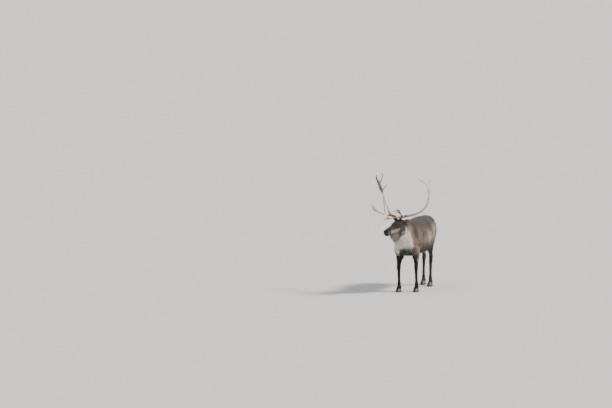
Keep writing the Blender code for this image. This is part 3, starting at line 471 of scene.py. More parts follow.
def carveFace(head):
    # lids, nostrils, the line of the mouth, lips and folds, all moved along the skin's own normals
    place, facing = readPoints(head.data)
    a, r, o = headSpace(place)
    ex, er, eo = headForm["eye"]
    sideways = np.abs(facing @ np.array(outward))
    move = -face["coatDepth"] * (1 - earNearness(place))
    gap = lineDistance(a, r, face["mouth"])
    atMouth = ramp(a, 0.284, 0.305)
    move -= face["mouthDepth"] * bump(gap, face["mouthWidth"]) * atMouth
    move += face["lip"] * bump(gap - 0.0075, 0.004) * atMouth
    na, nr, no = face["nostril"]
    slant = (a - na) * 0.80 + (r - nr) * 0.60
    steep = -(a - na) * 0.60 + (r - nr) * 0.80
    hole = np.sqrt((slant / 0.0115) ** 2 + (steep / 0.0062) ** 2 + ((np.abs(o) - no) / 0.030) ** 2)
    move = move - face["nostrilDepth"] * (1 - ramp(hole, 0.55, 1.15)) + 0.0022 * bump(hole - 1.35, 0.30)
    move -= 0.0028 * bump(o, 0.0022) * ramp(a, 0.385, 0.412) * ramp(r, -0.035, -0.01)  # cleft of the lip
    # almond opening of the lids
    da, dr = a - ex, r - er
    da, dr = da * 0.97 + dr * 0.24, dr * 0.97 - da * 0.24
    lid = np.sqrt((da / 0.0175) ** 2 + (dr / np.where(dr > 0, 0.0120, 0.0105)) ** 2)
    near = (np.abs(o) > 0.035) * (np.abs(da) < 0.06)
    move += near * 0.0032 * bump(lid - 1.22, 0.20) * np.where(dr > 0, 1.25, 0.85)
    move -= near * 0.0016 * bump(lid - 1.75, 0.18)
    move += near * 0.0012 * bump(lid - 2.15, 0.22)
    move -= near * 0.0110 * (1 - ramp(lid, 0.72, 1.05))
    # tear line, veins and folds of the muzzle
    tear = lineDistance(a, r, [(ex + 0.016, er - 0.004), (ex + 0.036, er - 0.016)])
    move -= near * 0.0025 * bump(tear, 0.0026)
    folds = np.sin(a * 520 + r * 160) * ramp(a, 0.335, 0.36) * (1 - ramp(a, 0.385, 0.40))
    folds = folds * ramp(r, -0.03, -0.012)
    move += 0.0005 * folds * (1 - ramp(r, 0.012, 0.03))
    cheek = np.sin((a - r) * 190) * bump(a - 0.21, 0.06) * bump(r + 0.045, 0.03)
    move += 0.0008 * cheek * sideways
    place = place + facing * move[:, None]
    # the orbit meets the eyeball
    for sign in sides.values():
        ring = np.hypot(a - ex, r - er) < 0.004
        side = ring & (o * sign > 0)
        reach = np.max(o[side] * sign) - face["coatDepth"]
        target = eo + headForm["eyeRadius"] * 0.90
        distance = np.sqrt((a - ex) ** 2 + (r - er) ** 2 + (o * sign - eo) ** 2)
        near = bump(distance, 0.034) * (o * sign > 0.02)
        place = place + np.outer(near * (target - reach) * sign, np.array(outward))
    writePoints(head.data, place)


def earNearness(place):
    # 1 on the ears, 0 on the head
    best = np.zeros(len(place))
    for side in sides:
        root, heading, _ = earAxes(side)
        local = place - np.array(root)
        run = local @ np.array(heading)
        off = np.linalg.norm(local - np.outer(run, np.array(heading)), axis=1)
        best = np.maximum(best, ramp(run, -0.012, 0.012) * (1 - ramp(off, 0.045, 0.06)))
    return best


tail = {
    "root": Vector((0.0, 0.588, 0.985)),
    "rows": [
        (0, -0.05, 0.01, 0.032, 0.026), (0, -0.01, 0.004, 0.031, 0.025), (0, 0.018, -0.014, 0.031, 0.023),
        (0, 0.03, -0.05, 0.031, 0.021), (0, 0.032, -0.095, 0.025, 0.016), (0, 0.03, -0.13, 0.01, 0.008),
    ],
}


def tailMesh():
    rows = [(tail["root"].x + x, tail["root"].y + y, tail["root"].z + z, wide, thick)
            for x, y, z, wide, thick in smoothRows(tail["rows"], 4)]
    return sweepLimb(rows, 16, Vector((1, 0, 0)))


def beardAt(place):
    # 1 under the throat and the back of the jaw, where long hair hangs
    a, r, o = headSpace(place)
    under = ramp(-r, 0.066, 0.080) * (1 - ramp(a, 0.270, 0.330)) * ramp(a, 0.130, 0.170)
    return under * (1 - ramp(np.abs(o), 0.045, 0.070)) * (1 - ramp(-r, 0.15, 0.18))


def coatDepthAt(place):
    # how far the skin lies under the outline of the coat
    _, y, z = place.T
    depth = 0.008 * np.ones(len(place))
    depth = toward(depth, 0.003, 1 - ramp(z, 0.48, 0.66))
    depth = toward(depth, 0.001, ramp(-y, 0.50, 0.60))
    depth = toward(depth, 0.001, ramp(y, 0.60, 0.61))
    return depth


bodyForms = {
    # height, y, z, lean, width, middle, tall, and how far out it starts and is full
    "ridges": [
        (-0.012, -0.265, 0.90, 0.20, 0.035, 0.86, 0.20, -2.0, -1.0),  # behind the shoulder
        (0.006, -0.395, 0.90, 0.30, 0.030, 0.97, 0.10, 0.06, 0.12),  # shoulder blade
        (-0.013, 0.225, 0.80, 0.25, 0.030, 0.74, 0.12, 0.05, 0.10),  # fold of the flank
        (0.007, 0.305, 0.86, 0.20, 0.040, 0.84, 0.12, 0.06, 0.12),  # front of the thigh
    ],
    "joints": {"fore": 0.405, "hind": 0.475},
}


def shapeBody(body):
    # muscles, hollows and tendons under the coat
    place, facing = readPoints(body.data)
    x, y, z = place.T
    ax = np.abs(x)
    move = -coatDepthAt(place)
    hollow = np.sqrt(((y - 0.235 + (1.10 - z) * 0.35) / 0.055) ** 2 + ((z - 1.07) / 0.085) ** 2)
    move -= 0.016 * bump(hollow, 1.0) * ramp(ax, 0.03, 0.09)
    move -= 0.008 * (bump(y - 0.17, 0.075) * ramp(z, 1.08, 1.14))  # loin
    move += 0.008 * (bump(y + 0.36, 0.10) * ramp(z, 1.06, 1.12) * (1 - ramp(ax, 0.05, 0.12)))  # withers
    ribs = np.sin((y + (z - 0.9) * 0.35) * 88) * ramp(y, -0.26, -0.16) * (1 - ramp(y, 0.10, 0.18))
    move += 0.0016 * ribs * bump(z - 0.90, 0.15) * ramp(ax, 0.10, 0.17)
    for height, back, level, lean, width, middle, tall, start, full in bodyForms["ridges"]:
        off = np.abs(y - back - (level - z) * lean)
        move += height * bump(off, width) * bump(z - middle, tall) * ramp(ax, start, full)
    for kind, where in bodyForms["joints"].items():
        for side in sides:
            centre = legPlace(kind, side, where)
            near = (np.abs(y - centre.y) < 0.11) * (np.abs(x - centre.x) < 0.06)
            if kind == "hind":
                groove = bump(y - centre.y - 0.052 - (z - where) * 0.10, 0.010)
                move -= near * 0.006 * (groove * bump(z - where - 0.075, 0.045))
            else:
                move += near * 0.0015 * bump(z - where, 0.022)
            tendon = np.abs(y - centre.y - 0.016) * near
            move -= near * ((z > 0.16) * (z < where - 0.04)) * 0.0022 * bump(tendon, 0.006)
    move += 0.0010 * ripple(place, 0.06, 4)
    writePoints(body.data, place + facing * move[:, None])


def makeSkin():
    print("skin: the body")
    forms = trunkForms() + [tailMesh()]
    forms += [legMesh(kind, side) for kind in ("fore", "hind") for side in sides]
    body = meltTogether(forms, "skin", trunk["voxel"] * (1.0), trunk["smoothing"])
    shapeBody(body)
    print("skin: the head")
    head = meltTogether(headForms(), "headSkin", headForm["voxel"], headForm["smoothing"])
    carveFace(head)
    thinOut(head, headForm["triangles"])
    join = body.modifiers.new("join", "BOOLEAN")
    join.operation = "UNION"
    join.solver = "MANIFOLD"
    join.object = head
    applied(body)
    bpy.data.objects.remove(head, do_unlink=True)
    soleLevel(body)
    made = bmesh.new()
    made.from_mesh(body.data)
    bmesh.ops.triangulate(made, faces=made.faces)
    body.data = meshFrom(made, "skin")
    print("skin triangles", len(body.data.polygons))
    return body


def soleLevel(body):
    # the skin ends at the top of the hooves
    place, _ = readPoints(body.data)
    place[:, 2] = np.maximum(place[:, 2], stance["hoofHeight"] + 0.0006)
    writePoints(body.data, place)


# Markings and painted shade, shared by the skin and the coat
tones = {
    "flank": (0.160, 0.104, 0.069),
    "back": (0.082, 0.060, 0.047),
    "palePatch": (0.640, 0.540, 0.430),
    "haunch": (0.400, 0.325, 0.255),
    # the next two tones are painted shade: the dark lower flank stripe deepened to near black, then near
    # black for the belly and the hollow in front of the hip
    "lowFlankAndShade": (0.033, 0.025, 0.020),
    "paintedShade": (0.018, 0.013, 0.011),
    # near black brisket: partly its own dark brown, partly painted shade under the chest
    "brisketAndShade": (0.012, 0.009, 0.008),
    "tan": (0.500, 0.360, 0.260),
    "mane": (0.900, 0.850, 0.760),
    "maneGrey": (0.400, 0.360, 0.315),
    "rump": (0.760, 0.700, 0.590),
    "leg": (0.030, 0.022, 0.018),
    "legPale": (0.560, 0.430, 0.325),
    "foot": (0.300, 0.255, 0.205),
    "faceDark": (0.020, 0.015, 0.013),
    "faceBrown": (0.075, 0.054, 0.041),
    "cheek": (0.380, 0.320, 0.260),
    "jawSpot": (0.170, 0.105, 0.060),
    "nose": (0.200, 0.185, 0.175),
    "earBrown": (0.120, 0.088, 0.066),
    "earInner": (0.240, 0.195, 0.155),
}


class Paint:
    # the colours of many points, with one tone after another laid over them
    def __init__(self, tone, count):
        self.colour = np.tile(np.array(tones[tone]), (count, 1))

    def lay(self, tone, weight):
        self.colour = toward(self.colour, np.array(tones[tone]), np.clip(weight, 0, 1)[:, None])


def neckEdge(y, z):
    # how far behind the slanting front of the shoulder
    return y - (-0.62 + (1.0 - z) * 0.60)


def whiteFloor(x, y):
    # the lowest place of the white hair, which hangs to the right: the brisket behind it is dark
    low = np.where(y > -0.63, 0.715, maneUnder(y))
    return low + np.maximum(0.750 - low, 0) * ramp(x, -0.085, -0.020)


def whiteness(place):
    # 1 where the white hair of the neck is rooted
    x, y, z = place.T
    edge = neckEdge(y, z) + 0.013 * ripple(place, 0.055, 1)
    hem = z - whiteFloor(x, y) + 0.012 * ripple(place, 0.03, 3) + 0.020 * ripple(place, 0.012, 4)
    return (1 - ramp(edge, -0.080, -0.040)) * ramp(hem, 0.005, 0.040)


def coatColours(place, facing):
    x, y, z = place.T
    ax = np.abs(x)
    uneven = ripple(place, 0.055, 1)
    fine = ripple(place, 0.020, 2)
    wave = 0.018 * uneven + 0.007 * fine
    paint = Paint("flank", len(place))
    paint.lay("back", ramp(z + wave, 0.95, 1.10))
    haunch = ramp(y + wave, 0.06, 0.22) * ramp(z, 0.74, 0.84) * (1 - ramp(z + wave, 0.98, 1.08))
    paint.lay("haunch", 0.8 * (haunch * ramp(ax, 0.05, 0.10)))
    band = bump(z - 0.815 - 0.05 * ramp(y, -0.1, 0.2) + wave, 0.055) * ramp(y, -0.34, -0.16)
    paint.lay("haunch", 0.60 * (band * (1 - ramp(y, 0.30, 0.45))) * ramp(ax, 0.08, 0.14))
    slant = y + 0.020 + 0.30 * (z - 0.875) + 2.2 * wave
    patch = np.sqrt((slant / 0.088) ** 2 + ((z - 0.870 + wave) / 0.135) ** 2)
    paint.lay("palePatch", 0.85 * (1 - ramp(patch, 0.15, 1.25)) * ramp(ax, 0.08, 0.15))
    # painted shade under the barrel: the dark lower flank stripe deepened to near black, and the belly
    # below it near black
    paint.lay("lowFlankAndShade", (1 - ramp(z + wave, 0.66, 0.75)) * ramp(y, -0.42, -0.34))
    paint.lay("paintedShade", 1 - ramp(z + wave, 0.595, 0.640))
    # painted shade: a dark diagonal line in the hollow in front of the hip
    hipHollowShade = np.abs(y - 0.17 + (1.17 - z) * 1.2)
    paint.lay("paintedShade", 0.75 * bump(hipHollowShade, 0.034) * ramp(z, 1.02, 1.07) * ramp(y, -0.02, 0.03))
    rump = np.sqrt(((x + wave) / 0.115) ** 2 + ((z - 0.91 + wave) / 0.165) ** 2)
    rump = (1 - ramp(rump, 0.70, 1.15)) * ramp(y, 0.44, 0.51)
    paint.lay("rump", rump)
    paint.lay("haunch", 0.6 * bump(x, 0.018) * ramp(y, 0.60, 0.62) * ramp(facing[:, 2], -0.1, 0.5))
    # legs
    legs = 1 - ramp(z + wave, 0.50, 0.64)
    paint.lay("leg", legs)
    backEdge = ramp(facing[:, 1], 0.25, 0.85) * legs * ramp(z, 0.13, 0.22)
    inner = ramp(-facing[:, 0] * np.sign(x), 0.45, 0.95) * legs
    paint.lay("legPale", 0.20 * backEdge + 0.12 * inner)
    arm = ramp(y + 0.400 - (z - 0.5) * 0.10 + 0.5 * wave, -0.014, 0.016)
    arm = arm * (1 - ramp(y + wave, -0.335, -0.280))
    outer = ramp(facing[:, 0] * np.sign(x), -0.35, 0.15)
    paint.lay("legPale", 0.95 * arm * outer * ramp(z + wave, 0.30, 0.40) * (1 - ramp(z, 0.70, 0.78)))
    thigh = ramp(-facing[:, 0] * np.sign(x), 0.15, 0.6) * ramp(y, 0.20, 0.26) * ramp(z + wave, 0.47, 0.56)
    paint.lay("palePatch", 0.8 * thigh * (1 - ramp(z, 0.62, 0.68)))
    paint.lay("foot", 0.6 * (1 - ramp(z + 0.4 * wave, 0.066, 0.082)))
    # the tan band in front of the shoulder, then the white neck
    edge = neckEdge(y, z) + 0.7 * wave
    neckHigh = ramp(z, 0.60, 0.68)
    paint.lay("tan", bump(edge - 0.005, 0.060) * neckHigh * (1 - ramp(z, 1.06, 1.13)))
    # the brisket below the white hair: partly its own dark brown, partly painted shade under the chest
    brisketAndShade = (1 - ramp(edge, -0.10, -0.05)) * (1 - ramp(z - whiteFloor(x, y) + wave, 0.015, 0.045))
    paint.lay("brisketAndShade", brisketAndShade)
    white = whiteness(place)
    paint.lay("mane", white)
    paint.lay("maneGrey", 0.75 * white * ramp(z + wave, 1.085, 1.130))
    lower = white * bump(z - 0.80, 0.035) * ramp(x, -0.02, 0.03) * ramp(uneven, -0.2, 0.6)
    paint.lay("maneGrey", 0.6 * lower)
    return faceColours(place, facing, paint.colour, wave)


def faceColours(place, facing, colour, wave):
    a, r, o = headSpace(place)
    side = np.abs(o)
    onFace = ramp(a + 0.30 * r, 0.000, 0.045) * (1 - ramp(side, 0.13, 0.16)) * ramp(r, -0.165, -0.135)
    onFace = onFace * ramp(a, -0.02, 0.02)
    tone = Paint("faceBrown", len(place))
    cheek = np.sqrt(((a - 0.225 + 1.5 * wave) / 0.105) ** 2 + ((r + 0.038 + 0.7 * wave) / 0.044) ** 2)
    tone.lay("cheek", 0.95 * (1 - ramp(cheek, 0.45, 1.20)) * ramp(side, 0.012, 0.035))
    tone.lay("cheek", 0.75 * (1 - ramp(r + 0.5 * wave, -0.100, -0.080)) * (1 - ramp(a, 0.10, 0.16)))
    spot = np.sqrt(((a - 0.225 + 0.5 * wave) / 0.050) ** 2 + ((r + 0.088) / 0.022) ** 2)
    tone.lay("jawSpot", 1 - ramp(spot, 0.7, 1.2))
    tone.lay("faceDark", ramp(r + 0.7 * wave, -0.014, 0.022))
    tone.lay("faceDark", ramp(a + wave, 0.295, 0.350))
    tone.lay("nose", 0.75 * bump(np.hypot((a - 0.385) / 0.026, (r + 0.012) / 0.016), 1.0))
    tone.lay("nose", 0.95 * ramp(a, 0.335, 0.360) * (1 - ramp(r, -0.058, -0.047)))
    # painted shade: the long hair under the jaw is laid grey, darker than the white throat, as shade under
    # the head
    tone.lay("maneGrey", 0.8 * beardAt(place))
    ex, er, _ = headForm["eye"]
    eye = np.hypot((a - ex) / 0.030, (r - er) / 0.020)
    tone.lay("faceDark", bump(eye, 0.9) * (side > 0.03))
    earTone = Paint("earBrown", len(place))
    earTone.lay("earInner", ramp(facing @ np.array(forwardFlat), 0.15, 0.6))
    return toward(toward(colour, tone.colour, onFace[:, None]), earTone.colour, earNearness(place)[:, None])


def coatLie(place, facing):
    # the way the hair lies, along the surface
    x, y, z = place.T
    a, r, o = headSpace(place)
    beard = beardAt(place)
    onFace = ramp(a, -0.005, 0.05) * ramp(r, -0.16, -0.12) * (1 - ramp(np.abs(o), 0.12, 0.15)) * (1 - beard)
    crest = np.stack([0.8 * np.sign(x), np.full(len(x), 0.8), np.full(len(x), -0.5)], 1)
    lie = np.tile(np.array((0.0, 1.0, -0.28)), (len(place), 1))
    for way, weight in (
        ((0, 0.75, -0.65), 1 - ramp(z, 0.72, 0.95)),
        ((0, 0.25, -1.0), ramp(y, 0.30, 0.52)),
        ((0, 0.20, -1.0), (1 - ramp(z, 0.52, 0.66)) * (np.abs(y) > 0.2)),
        ((0, 0.35, -1.0), ramp(-y, 0.40, 0.55)),
        (crest, ramp(-y, 0.40, 0.55) * ramp(z, 1.08, 1.13)),
        (-np.array(along) - 0.25 * np.array(rise), onFace),
        ((-0.06, 0.10, -1.0), beard),
        ((0, 0.10, -1.0), tailed(place)),
    ):
        lie = toward(lie, np.asarray(way, float), np.clip(weight, 0.0, 1.0)[:, None])
    off = np.sum(lie * facing, axis=1)
    free = ramp(-y, 0.46, 0.56) * (1 - onFace) * ramp(z, 0.56, 0.62)
    lie = lie - facing * np.where(off > 0, off * (1 - free), off)[:, None]
    for side in sides:
        root, heading, _ = earAxes(side)
        near = np.linalg.norm(place - np.array(root) - np.array(heading) * 0.06, axis=1) < 0.09
        lie = toward(lie, np.array(heading), (earNearness(place) * near)[:, None])
    return lie / np.maximum(np.linalg.norm(lie, axis=1), 1e-6)[:, None]


# Materials
def newMaterial(name):
    made = bpy.data.materials.new(name)
    made.use_nodes = True
    tree = made.node_tree
    return made, tree, tree.nodes["Principled BSDF"]


def feed(tree, node, inputs):
    # an input takes a number, a colour or another node's socket
    for key, value in inputs.items():
        if isinstance(value, bpy.types.NodeSocket):
            tree.links.new(value, node.inputs[key])
        else:
            node.inputs[key].default_value = value


def addNode(tree, kind, inputs=None, **values):
    node = tree.nodes.new(kind)
    for key, value in values.items():
        setattr(node, key, value)
    feed(tree, node, inputs or {})
    return node


def noiseOn(tree, scale, detail=4.0, stretch=(1, 1, 1)):
    coords = addNode(tree, "ShaderNodeTexCoord").outputs["Object"]
    turned = addNode(tree, "ShaderNodeMapping", {"Vector": coords, "Scale": stretch}).outputs["Vector"]
    inputs = {"Vector": turned, "Scale": scale, "Detail": detail, "Roughness": 0.55}
    return addNode(tree, "ShaderNodeTexNoise", inputs).outputs["Fac"]


def shadeRange(tree, source, low, high, fromLow=0.3, fromHigh=0.7):
    inputs = {"Value": source, "From Min": fromLow, "From Max": fromHigh, "To Min": low, "To Max": high}
    return addNode(tree, "ShaderNodeMapRange", inputs).outputs["Result"]


def scaledColour(tree, colour, amount):
    inputs = {0: colour, "Scale": amount}
    return addNode(tree, "ShaderNodeVectorMath", inputs, operation="SCALE").outputs["Vector"]


def multiplied(tree, a, b):
    return addNode(tree, "ShaderNodeMath", {0: a, 1: b}, operation="MULTIPLY").outputs[0]


def attributeOf(tree, name, output="Fac"):
    return addNode(tree, "ShaderNodeAttribute", attribute_name=name).outputs[output]


def bumpFrom(tree, height, distance, strength=0.6):
    inputs = {"Height": height, "Strength": strength, "Distance": distance}
    return addNode(tree, "ShaderNodeBump", inputs).outputs["Normal"]


def coatMaterial(name, root, tip):
    # hair: darker at the root, lighter at the tip, each tuft a little different
    made, tree, shader = newMaterial(name)
    patchy = shadeRange(tree, noiseOn(tree, 26.0), 0.88, 1.12)
    alongHair = shadeRange(tree, attributeOf(tree, "alongHair"), root, tip, 0.0, 1.0)
    amount = multiplied(tree, multiplied(tree, patchy, alongHair), attributeOf(tree, "tuftShade"))
    feed(tree, shader, {"Base Color": scaledColour(tree, attributeOf(tree, "marking", "Color"), amount),
                        "Roughness": 0.62, "Sheen Weight": 0.20, "Sheen Roughness": 0.4,
                        "Specular IOR Level": 0.25})
    return made


def skinMaterial():
    made, tree, shader = newMaterial("skinUnderCoat")
    hair = noiseOn(tree, 240.0, 3.0, (1.0, 0.22, 0.30))
    patchy = shadeRange(tree, noiseOn(tree, 30.0), 0.70, 0.98)
    amount = multiplied(tree, patchy, shadeRange(tree, hair, 0.80, 1.12))
    feed(tree, shader, {"Base Color": scaledColour(tree, attributeOf(tree, "marking", "Color"), amount),
                        "Roughness": 0.78, "Specular IOR Level": 0.2,
                        "Normal": bumpFrom(tree, hair, 0.0012)})
    return made


# Coat tufts, grown by one node tree
strands = 4  # in each tuft
thickness = 0.16  # of a strand, as a share of the tuft's size
tufts = {
    "short": {"spread": 1.05, "bend": 0.8, "wide": 0.36, "joints": 1, "splay": 0.5},
    "long": {"spread": 1.00, "bend": 1.3, "wide": 0.46, "joints": 4, "splay": 0.6},
}


def tuftMesh(style, seed):
    # one tuft of unit length along Z; X is away from the skin, Y across
    want = tufts[style]
    draw = random.Random(seed)
    made = bmesh.new()
    run = []
    for strand in range(strands):
        middle = (strand / (strands - 1) - 0.5) * 2
        length = draw.uniform(0.80, 1.0)
        start = middle * want["spread"] * 0.6
        lean = middle * want["splay"] + draw.uniform(-0.25, 0.25)
        sway = draw.uniform(-0.5, 0.5)
        rings = []
        for joint in range(want["joints"]):
            share = joint / want["joints"]
            half = 0.5 * want["wide"] * (1.0 - 0.55 * share**1.5)
            y = start + lean * share + sway * share**2
            x = want["bend"] * math.sin(share * 2.3) - 0.30 * (joint == 0)
            angles = [math.radians(turn) for turn in (90, 210, 330)]
            rings.append([made.verts.new((x + math.sin(angle) * thickness, y + math.cos(angle) * half,
                                          share * length)) for angle in angles])
            run += [share] * 3
        tip = made.verts.new((want["bend"] * math.sin(2.3) * 0.8, start + lean + sway, length))
        run.append(1.0)
        for low, high in zip(rings, rings[1:]):
            for k in range(3):
                made.faces.new((low[k], low[(k + 1) % 3], high[(k + 1) % 3], high[k]))
        for k in range(3):
            made.faces.new((rings[-1][k], rings[-1][(k + 1) % 3], tip))
        made.faces.new((rings[0][0], rings[0][2], rings[0][1]))
    mesh = meshFrom(made, f"{style}Tuft{seed}")
    addValues(mesh, "alongHair", run)
    patch = mesh.uv_layers.new(name="patch")
    for loop in mesh.loops:
        x, y, z = mesh.vertices[loop.vertex_index].co
        patch.data[loop.index].uv = (max(-0.5, min(0.5, y * 0.3)), z - 0.5)
    return mesh


def tuftCollection(style):
    group = bpy.data.collections.new(style + "Tufts")
    scene.collection.children.link(group)
    for seed in range(4):
        mesh = tuftMesh(style, seed)
        group.objects.link(bpy.data.objects.new(mesh.name, mesh))
    return group


def coatTree():
    tree = bpy.data.node_groups.new("coatTufts", "GeometryNodeTree")
    for label, kind, value in (
        ("Skin", "Geometry", None), ("Tufts", "Collection", None),
        ("Tufts per square metre", "Float", 9000.0), ("Least gap", "Float", 0.004),
        ("Lift", "Float", 0.3), ("Stray", "Float", 0.15),
        ("Length spread", "Float", 0.25), ("Patch size", "Float", 0.003), ("Seed", "Int", 1),
        ("Finish", "Material", None),
    ):
        socket = tree.interface.new_socket(label, in_out="INPUT", socket_type="NodeSocket" + kind)
        if value is not None:
            socket.default_value = value
    tree.interface.new_socket("Coat", in_out="OUTPUT", socket_type="NodeSocketGeometry")
    given = tree.nodes.new("NodeGroupInput").outputs

    def add(kind, inputs, output=0, **values):
        return addNode(tree, kind, inputs, **values).outputs[output]

    def named(name, kind="FLOAT"):
        return add("GeometryNodeInputNamedAttribute", {"Name": name}, "Attribute", data_type=kind)

    def store(geometry, name, kind, domain, value):
        inputs = {"Geometry": geometry, "Name": name, "Value": value}
        return add("GeometryNodeStoreNamedAttribute", inputs, "Geometry", data_type=kind, domain=domain)

    def vectorMath(operation, inputs):
        return add("ShaderNodeVectorMath", inputs, "Vector", operation=operation)

    def randomBetween(kind, low, high, shift):
        seed = add("ShaderNodeMath", {0: given["Seed"], 1: shift}, operation="ADD")
        node = addNode(tree, "FunctionNodeRandomValue", {"Seed": seed}, data_type=kind)
        for name, value in (("Min", low), ("Max", high)):
            [s for s in node.inputs if s.name == name and s.enabled][0].default_value = value
        return [s for s in node.outputs if s.enabled][0]

    scatter = addNode(tree, "GeometryNodeDistributePointsOnFaces", {
        "Mesh": given["Skin"], "Distance Min": given["Least gap"], "Seed": given["Seed"],
        "Density Max": given["Tufts per square metre"], "Density Factor": named("coatDensity"),
    }, distribute_method="POISSON").outputs
    roots = named("skinPlace", "FLOAT_VECTOR")
    points = store(scatter["Points"], "rootPlace", "FLOAT_VECTOR", "POINT", roots)
    points = store(points, "tuftShade", "FLOAT", "POINT", randomBetween("FLOAT", 0.86, 1.14, 3))
    lifted = vectorMath("SCALE", {0: scatter["Normal"], "Scale": given["Lift"]})
    stray = randomBetween("FLOAT_VECTOR", (-1, -1, -1), (1, 1, 1), 5)
    stray = vectorMath("SCALE", {0: stray, "Scale": given["Stray"]})
    heading = vectorMath("ADD", {0: named("lie", "FLOAT_VECTOR"), 1: lifted})
    heading = vectorMath("ADD", {0: heading, 1: stray})
    turn = add("FunctionNodeAxesToRotation", {"Primary Axis": heading, "Secondary Axis": scatter["Normal"]},
               "Rotation", primary_axis="Z", secondary_axis="X")
    spread = randomBetween("FLOAT", -1.0, 0.6, 7)
    spread = add("ShaderNodeMath", {0: spread, 1: given["Length spread"], 2: 1.0}, operation="MULTIPLY_ADD")
    length = add("ShaderNodeMath", {0: named("coatLength"), 1: spread}, operation="MULTIPLY")
    width = named("coatWidth")
    size = add("ShaderNodeCombineXYZ", {"X": width, "Y": width, "Z": length}, "Vector")
    source = add("GeometryNodeCollectionInfo", {"Collection": given["Tufts"], "Separate Children": True,
                                                "Reset Children": True}, transform_space="ORIGINAL")
    place = add("GeometryNodeInstanceOnPoints", {
        "Points": points, "Instance": source, "Pick Instance": True, "Rotation": turn, "Scale": size,
        "Instance Index": randomBetween("INT", 0, 3, 9)}, "Instances")
    real = add("GeometryNodeRealizeInstances", {"Geometry": place}, "Geometry")
    patch = vectorMath("SCALE", {0: named("patch", "FLOAT_VECTOR"), "Scale": given["Patch size"]})
    spot = vectorMath("ADD", {0: named("rootPlace", "FLOAT_VECTOR"), 1: patch})
    coat = store(real, "OFBake", "FLOAT2", "CORNER", spot)
    coat = add("GeometryNodeSetMaterial", {"Geometry": coat, "Material": given["Finish"]}, "Geometry")
    feed(tree, tree.nodes.new("NodeGroupOutput"), {"Coat": coat})
    return tree


def addValues(mesh, name, values):
    # a number, a direction or a colour for each point of a mesh
    values = np.asarray(values, np.float32)
    kind, key = {1: ("FLOAT", "value"), 3: ("FLOAT_VECTOR", "vector"),
                 4: ("FLOAT_COLOR", "color")}[values.size // len(mesh.vertices)]
    layer = mesh.attributes.get(name) or mesh.attributes.new(name, kind, "POINT")
    layer.data.foreach_set(key, values.ravel())


def withAlpha(colour):
    return np.hstack([colour, np.ones((len(colour), 1))])


class SkinTable:
    # the skin's triangles with what the coat needs to know at each point
    def __init__(self, skin):
        mesh = skin.data
        self.place, facing = readPoints(mesh)
        corners = np.empty(len(mesh.polygons) * 3, np.int32)
        mesh.loops.foreach_get("vertex_index", corners)
        self.faces = corners.reshape(-1, 3)
        self.colour = coatColours(self.place, facing)
        self.lie = coatLie(self.place, facing)
        self.middle = self.place[self.faces].mean(axis=1)
        a, b, c = self.place[self.faces].transpose(1, 0, 2)
        self.area = 0.5 * np.linalg.norm(np.cross(b - a, c - a), axis=1)


def unwrapRound(place, faces, centre, axis, count=1, index=0):
    # turns round an axis and runs along it, in one of `count` strips of the map
    axis = np.array(axis, float)
    first = np.cross(axis, (0.0, 0.0, 1.0))
    if np.linalg.norm(first) < 0.1:
        first = np.array((1.0, 0.0, 0.0))
    first = first / np.linalg.norm(first)
    second = np.cross(axis, first)
    local = place - np.array(centre)
    angle = (np.arctan2(local @ second, local @ first) / (2 * math.pi) + 0.25) % 1.0
    run = local @ axis
    turn = angle[faces]
    turn = np.where((turn.max(axis=1) - turn.min(axis=1) > 0.5)[:, None] & (turn < 0.5), turn + 1, turn)
    low, high = turn.min(), max(turn.max(), turn.min() + 1e-3)
    share = (turn - low) / (high - low)
    lengthwise = (run[faces] - run[faces].min()) / max(np.ptp(run[faces]), 1e-3)
    u = (index + 0.02 + 0.96 * share) / count
    return np.stack([u, 0.02 + 0.96 * lengthwise], axis=-1)


coatPieces = {  # tuft, lift from the skin, stray from the lie, triangles at most, seed
    "coatChestLeft": ("short", 0.15, 0.09, 150000, 11),
    "coatChestRight": ("short", 0.15, 0.09, 150000, 12),
    "coatLoinLeft": ("short", 0.15, 0.09, 150000, 13),
    "coatLoinRight": ("short", 0.15, 0.09, 150000, 14),
    "coatForeLegs": ("short", 0.10, 0.06, 75000, 15),
    "coatHindLegs": ("short", 0.10, 0.06, 85000, 16),
    "coatHeadLeft": ("short", 0.10, 0.06, 150000, 17),
    "coatHeadRight": ("short", 0.10, 0.06, 150000, 21),
    "maneLeft": ("long", 0.13, 0.12, 185000, 18),
    "maneRight": ("long", 0.13, 0.12, 185000, 19),
    "tailHair": ("long", 0.12, 0.10, 30000, 20),
}


def tailed(place):
    x, y, z = place.T
    return (y > 0.598) & (np.abs(x) < 0.05) & (z > 0.80) & (z < 1.02)


def pieceOfCoat(table):
    # which coat piece each triangle of the skin carries
    place = table.middle
    x, y, z = place.T
    a, r, o = headSpace(place)
    onSkull = (a > 0.012) & (r > -0.160) & (np.abs(o) < 0.15) & (beardAt(place) < 0.3)
    onSkull = onSkull | (earNearness(place) > 0.4)
    number = list(coatPieces).index
    owner = np.where(y < -0.02, np.where(x > 0, 0, 1), np.where(x > 0, 2, 3))
    for chosen, left, right in (
        ((z < 0.60) & (y < -0.15) & (np.abs(x) > 0.035), "coatForeLegs", "coatForeLegs"),
        ((z < 0.60) & (y > 0.24) & (np.abs(x) > 0.015), "coatHindLegs", "coatHindLegs"),
        ((y - (-0.60 + (1.0 - z) * 0.55) < -0.03) & (z > 0.56), "maneLeft", "maneRight"),
        (tailed(place), "tailHair", "tailHair"),
    ):
        owner = np.where(chosen, np.where(x > -0.01, number(left), number(right)), owner)
    return np.where(onSkull, np.where(o > 0, number("coatHeadLeft"), number("coatHeadRight")), owner)


def maneUnder(y):
    # how low the mane hangs at a place along the neck
    rows = np.array(neck["maneRows"])[::-1]
    return np.interp(y, rows[:, 1], rows[:, 3])


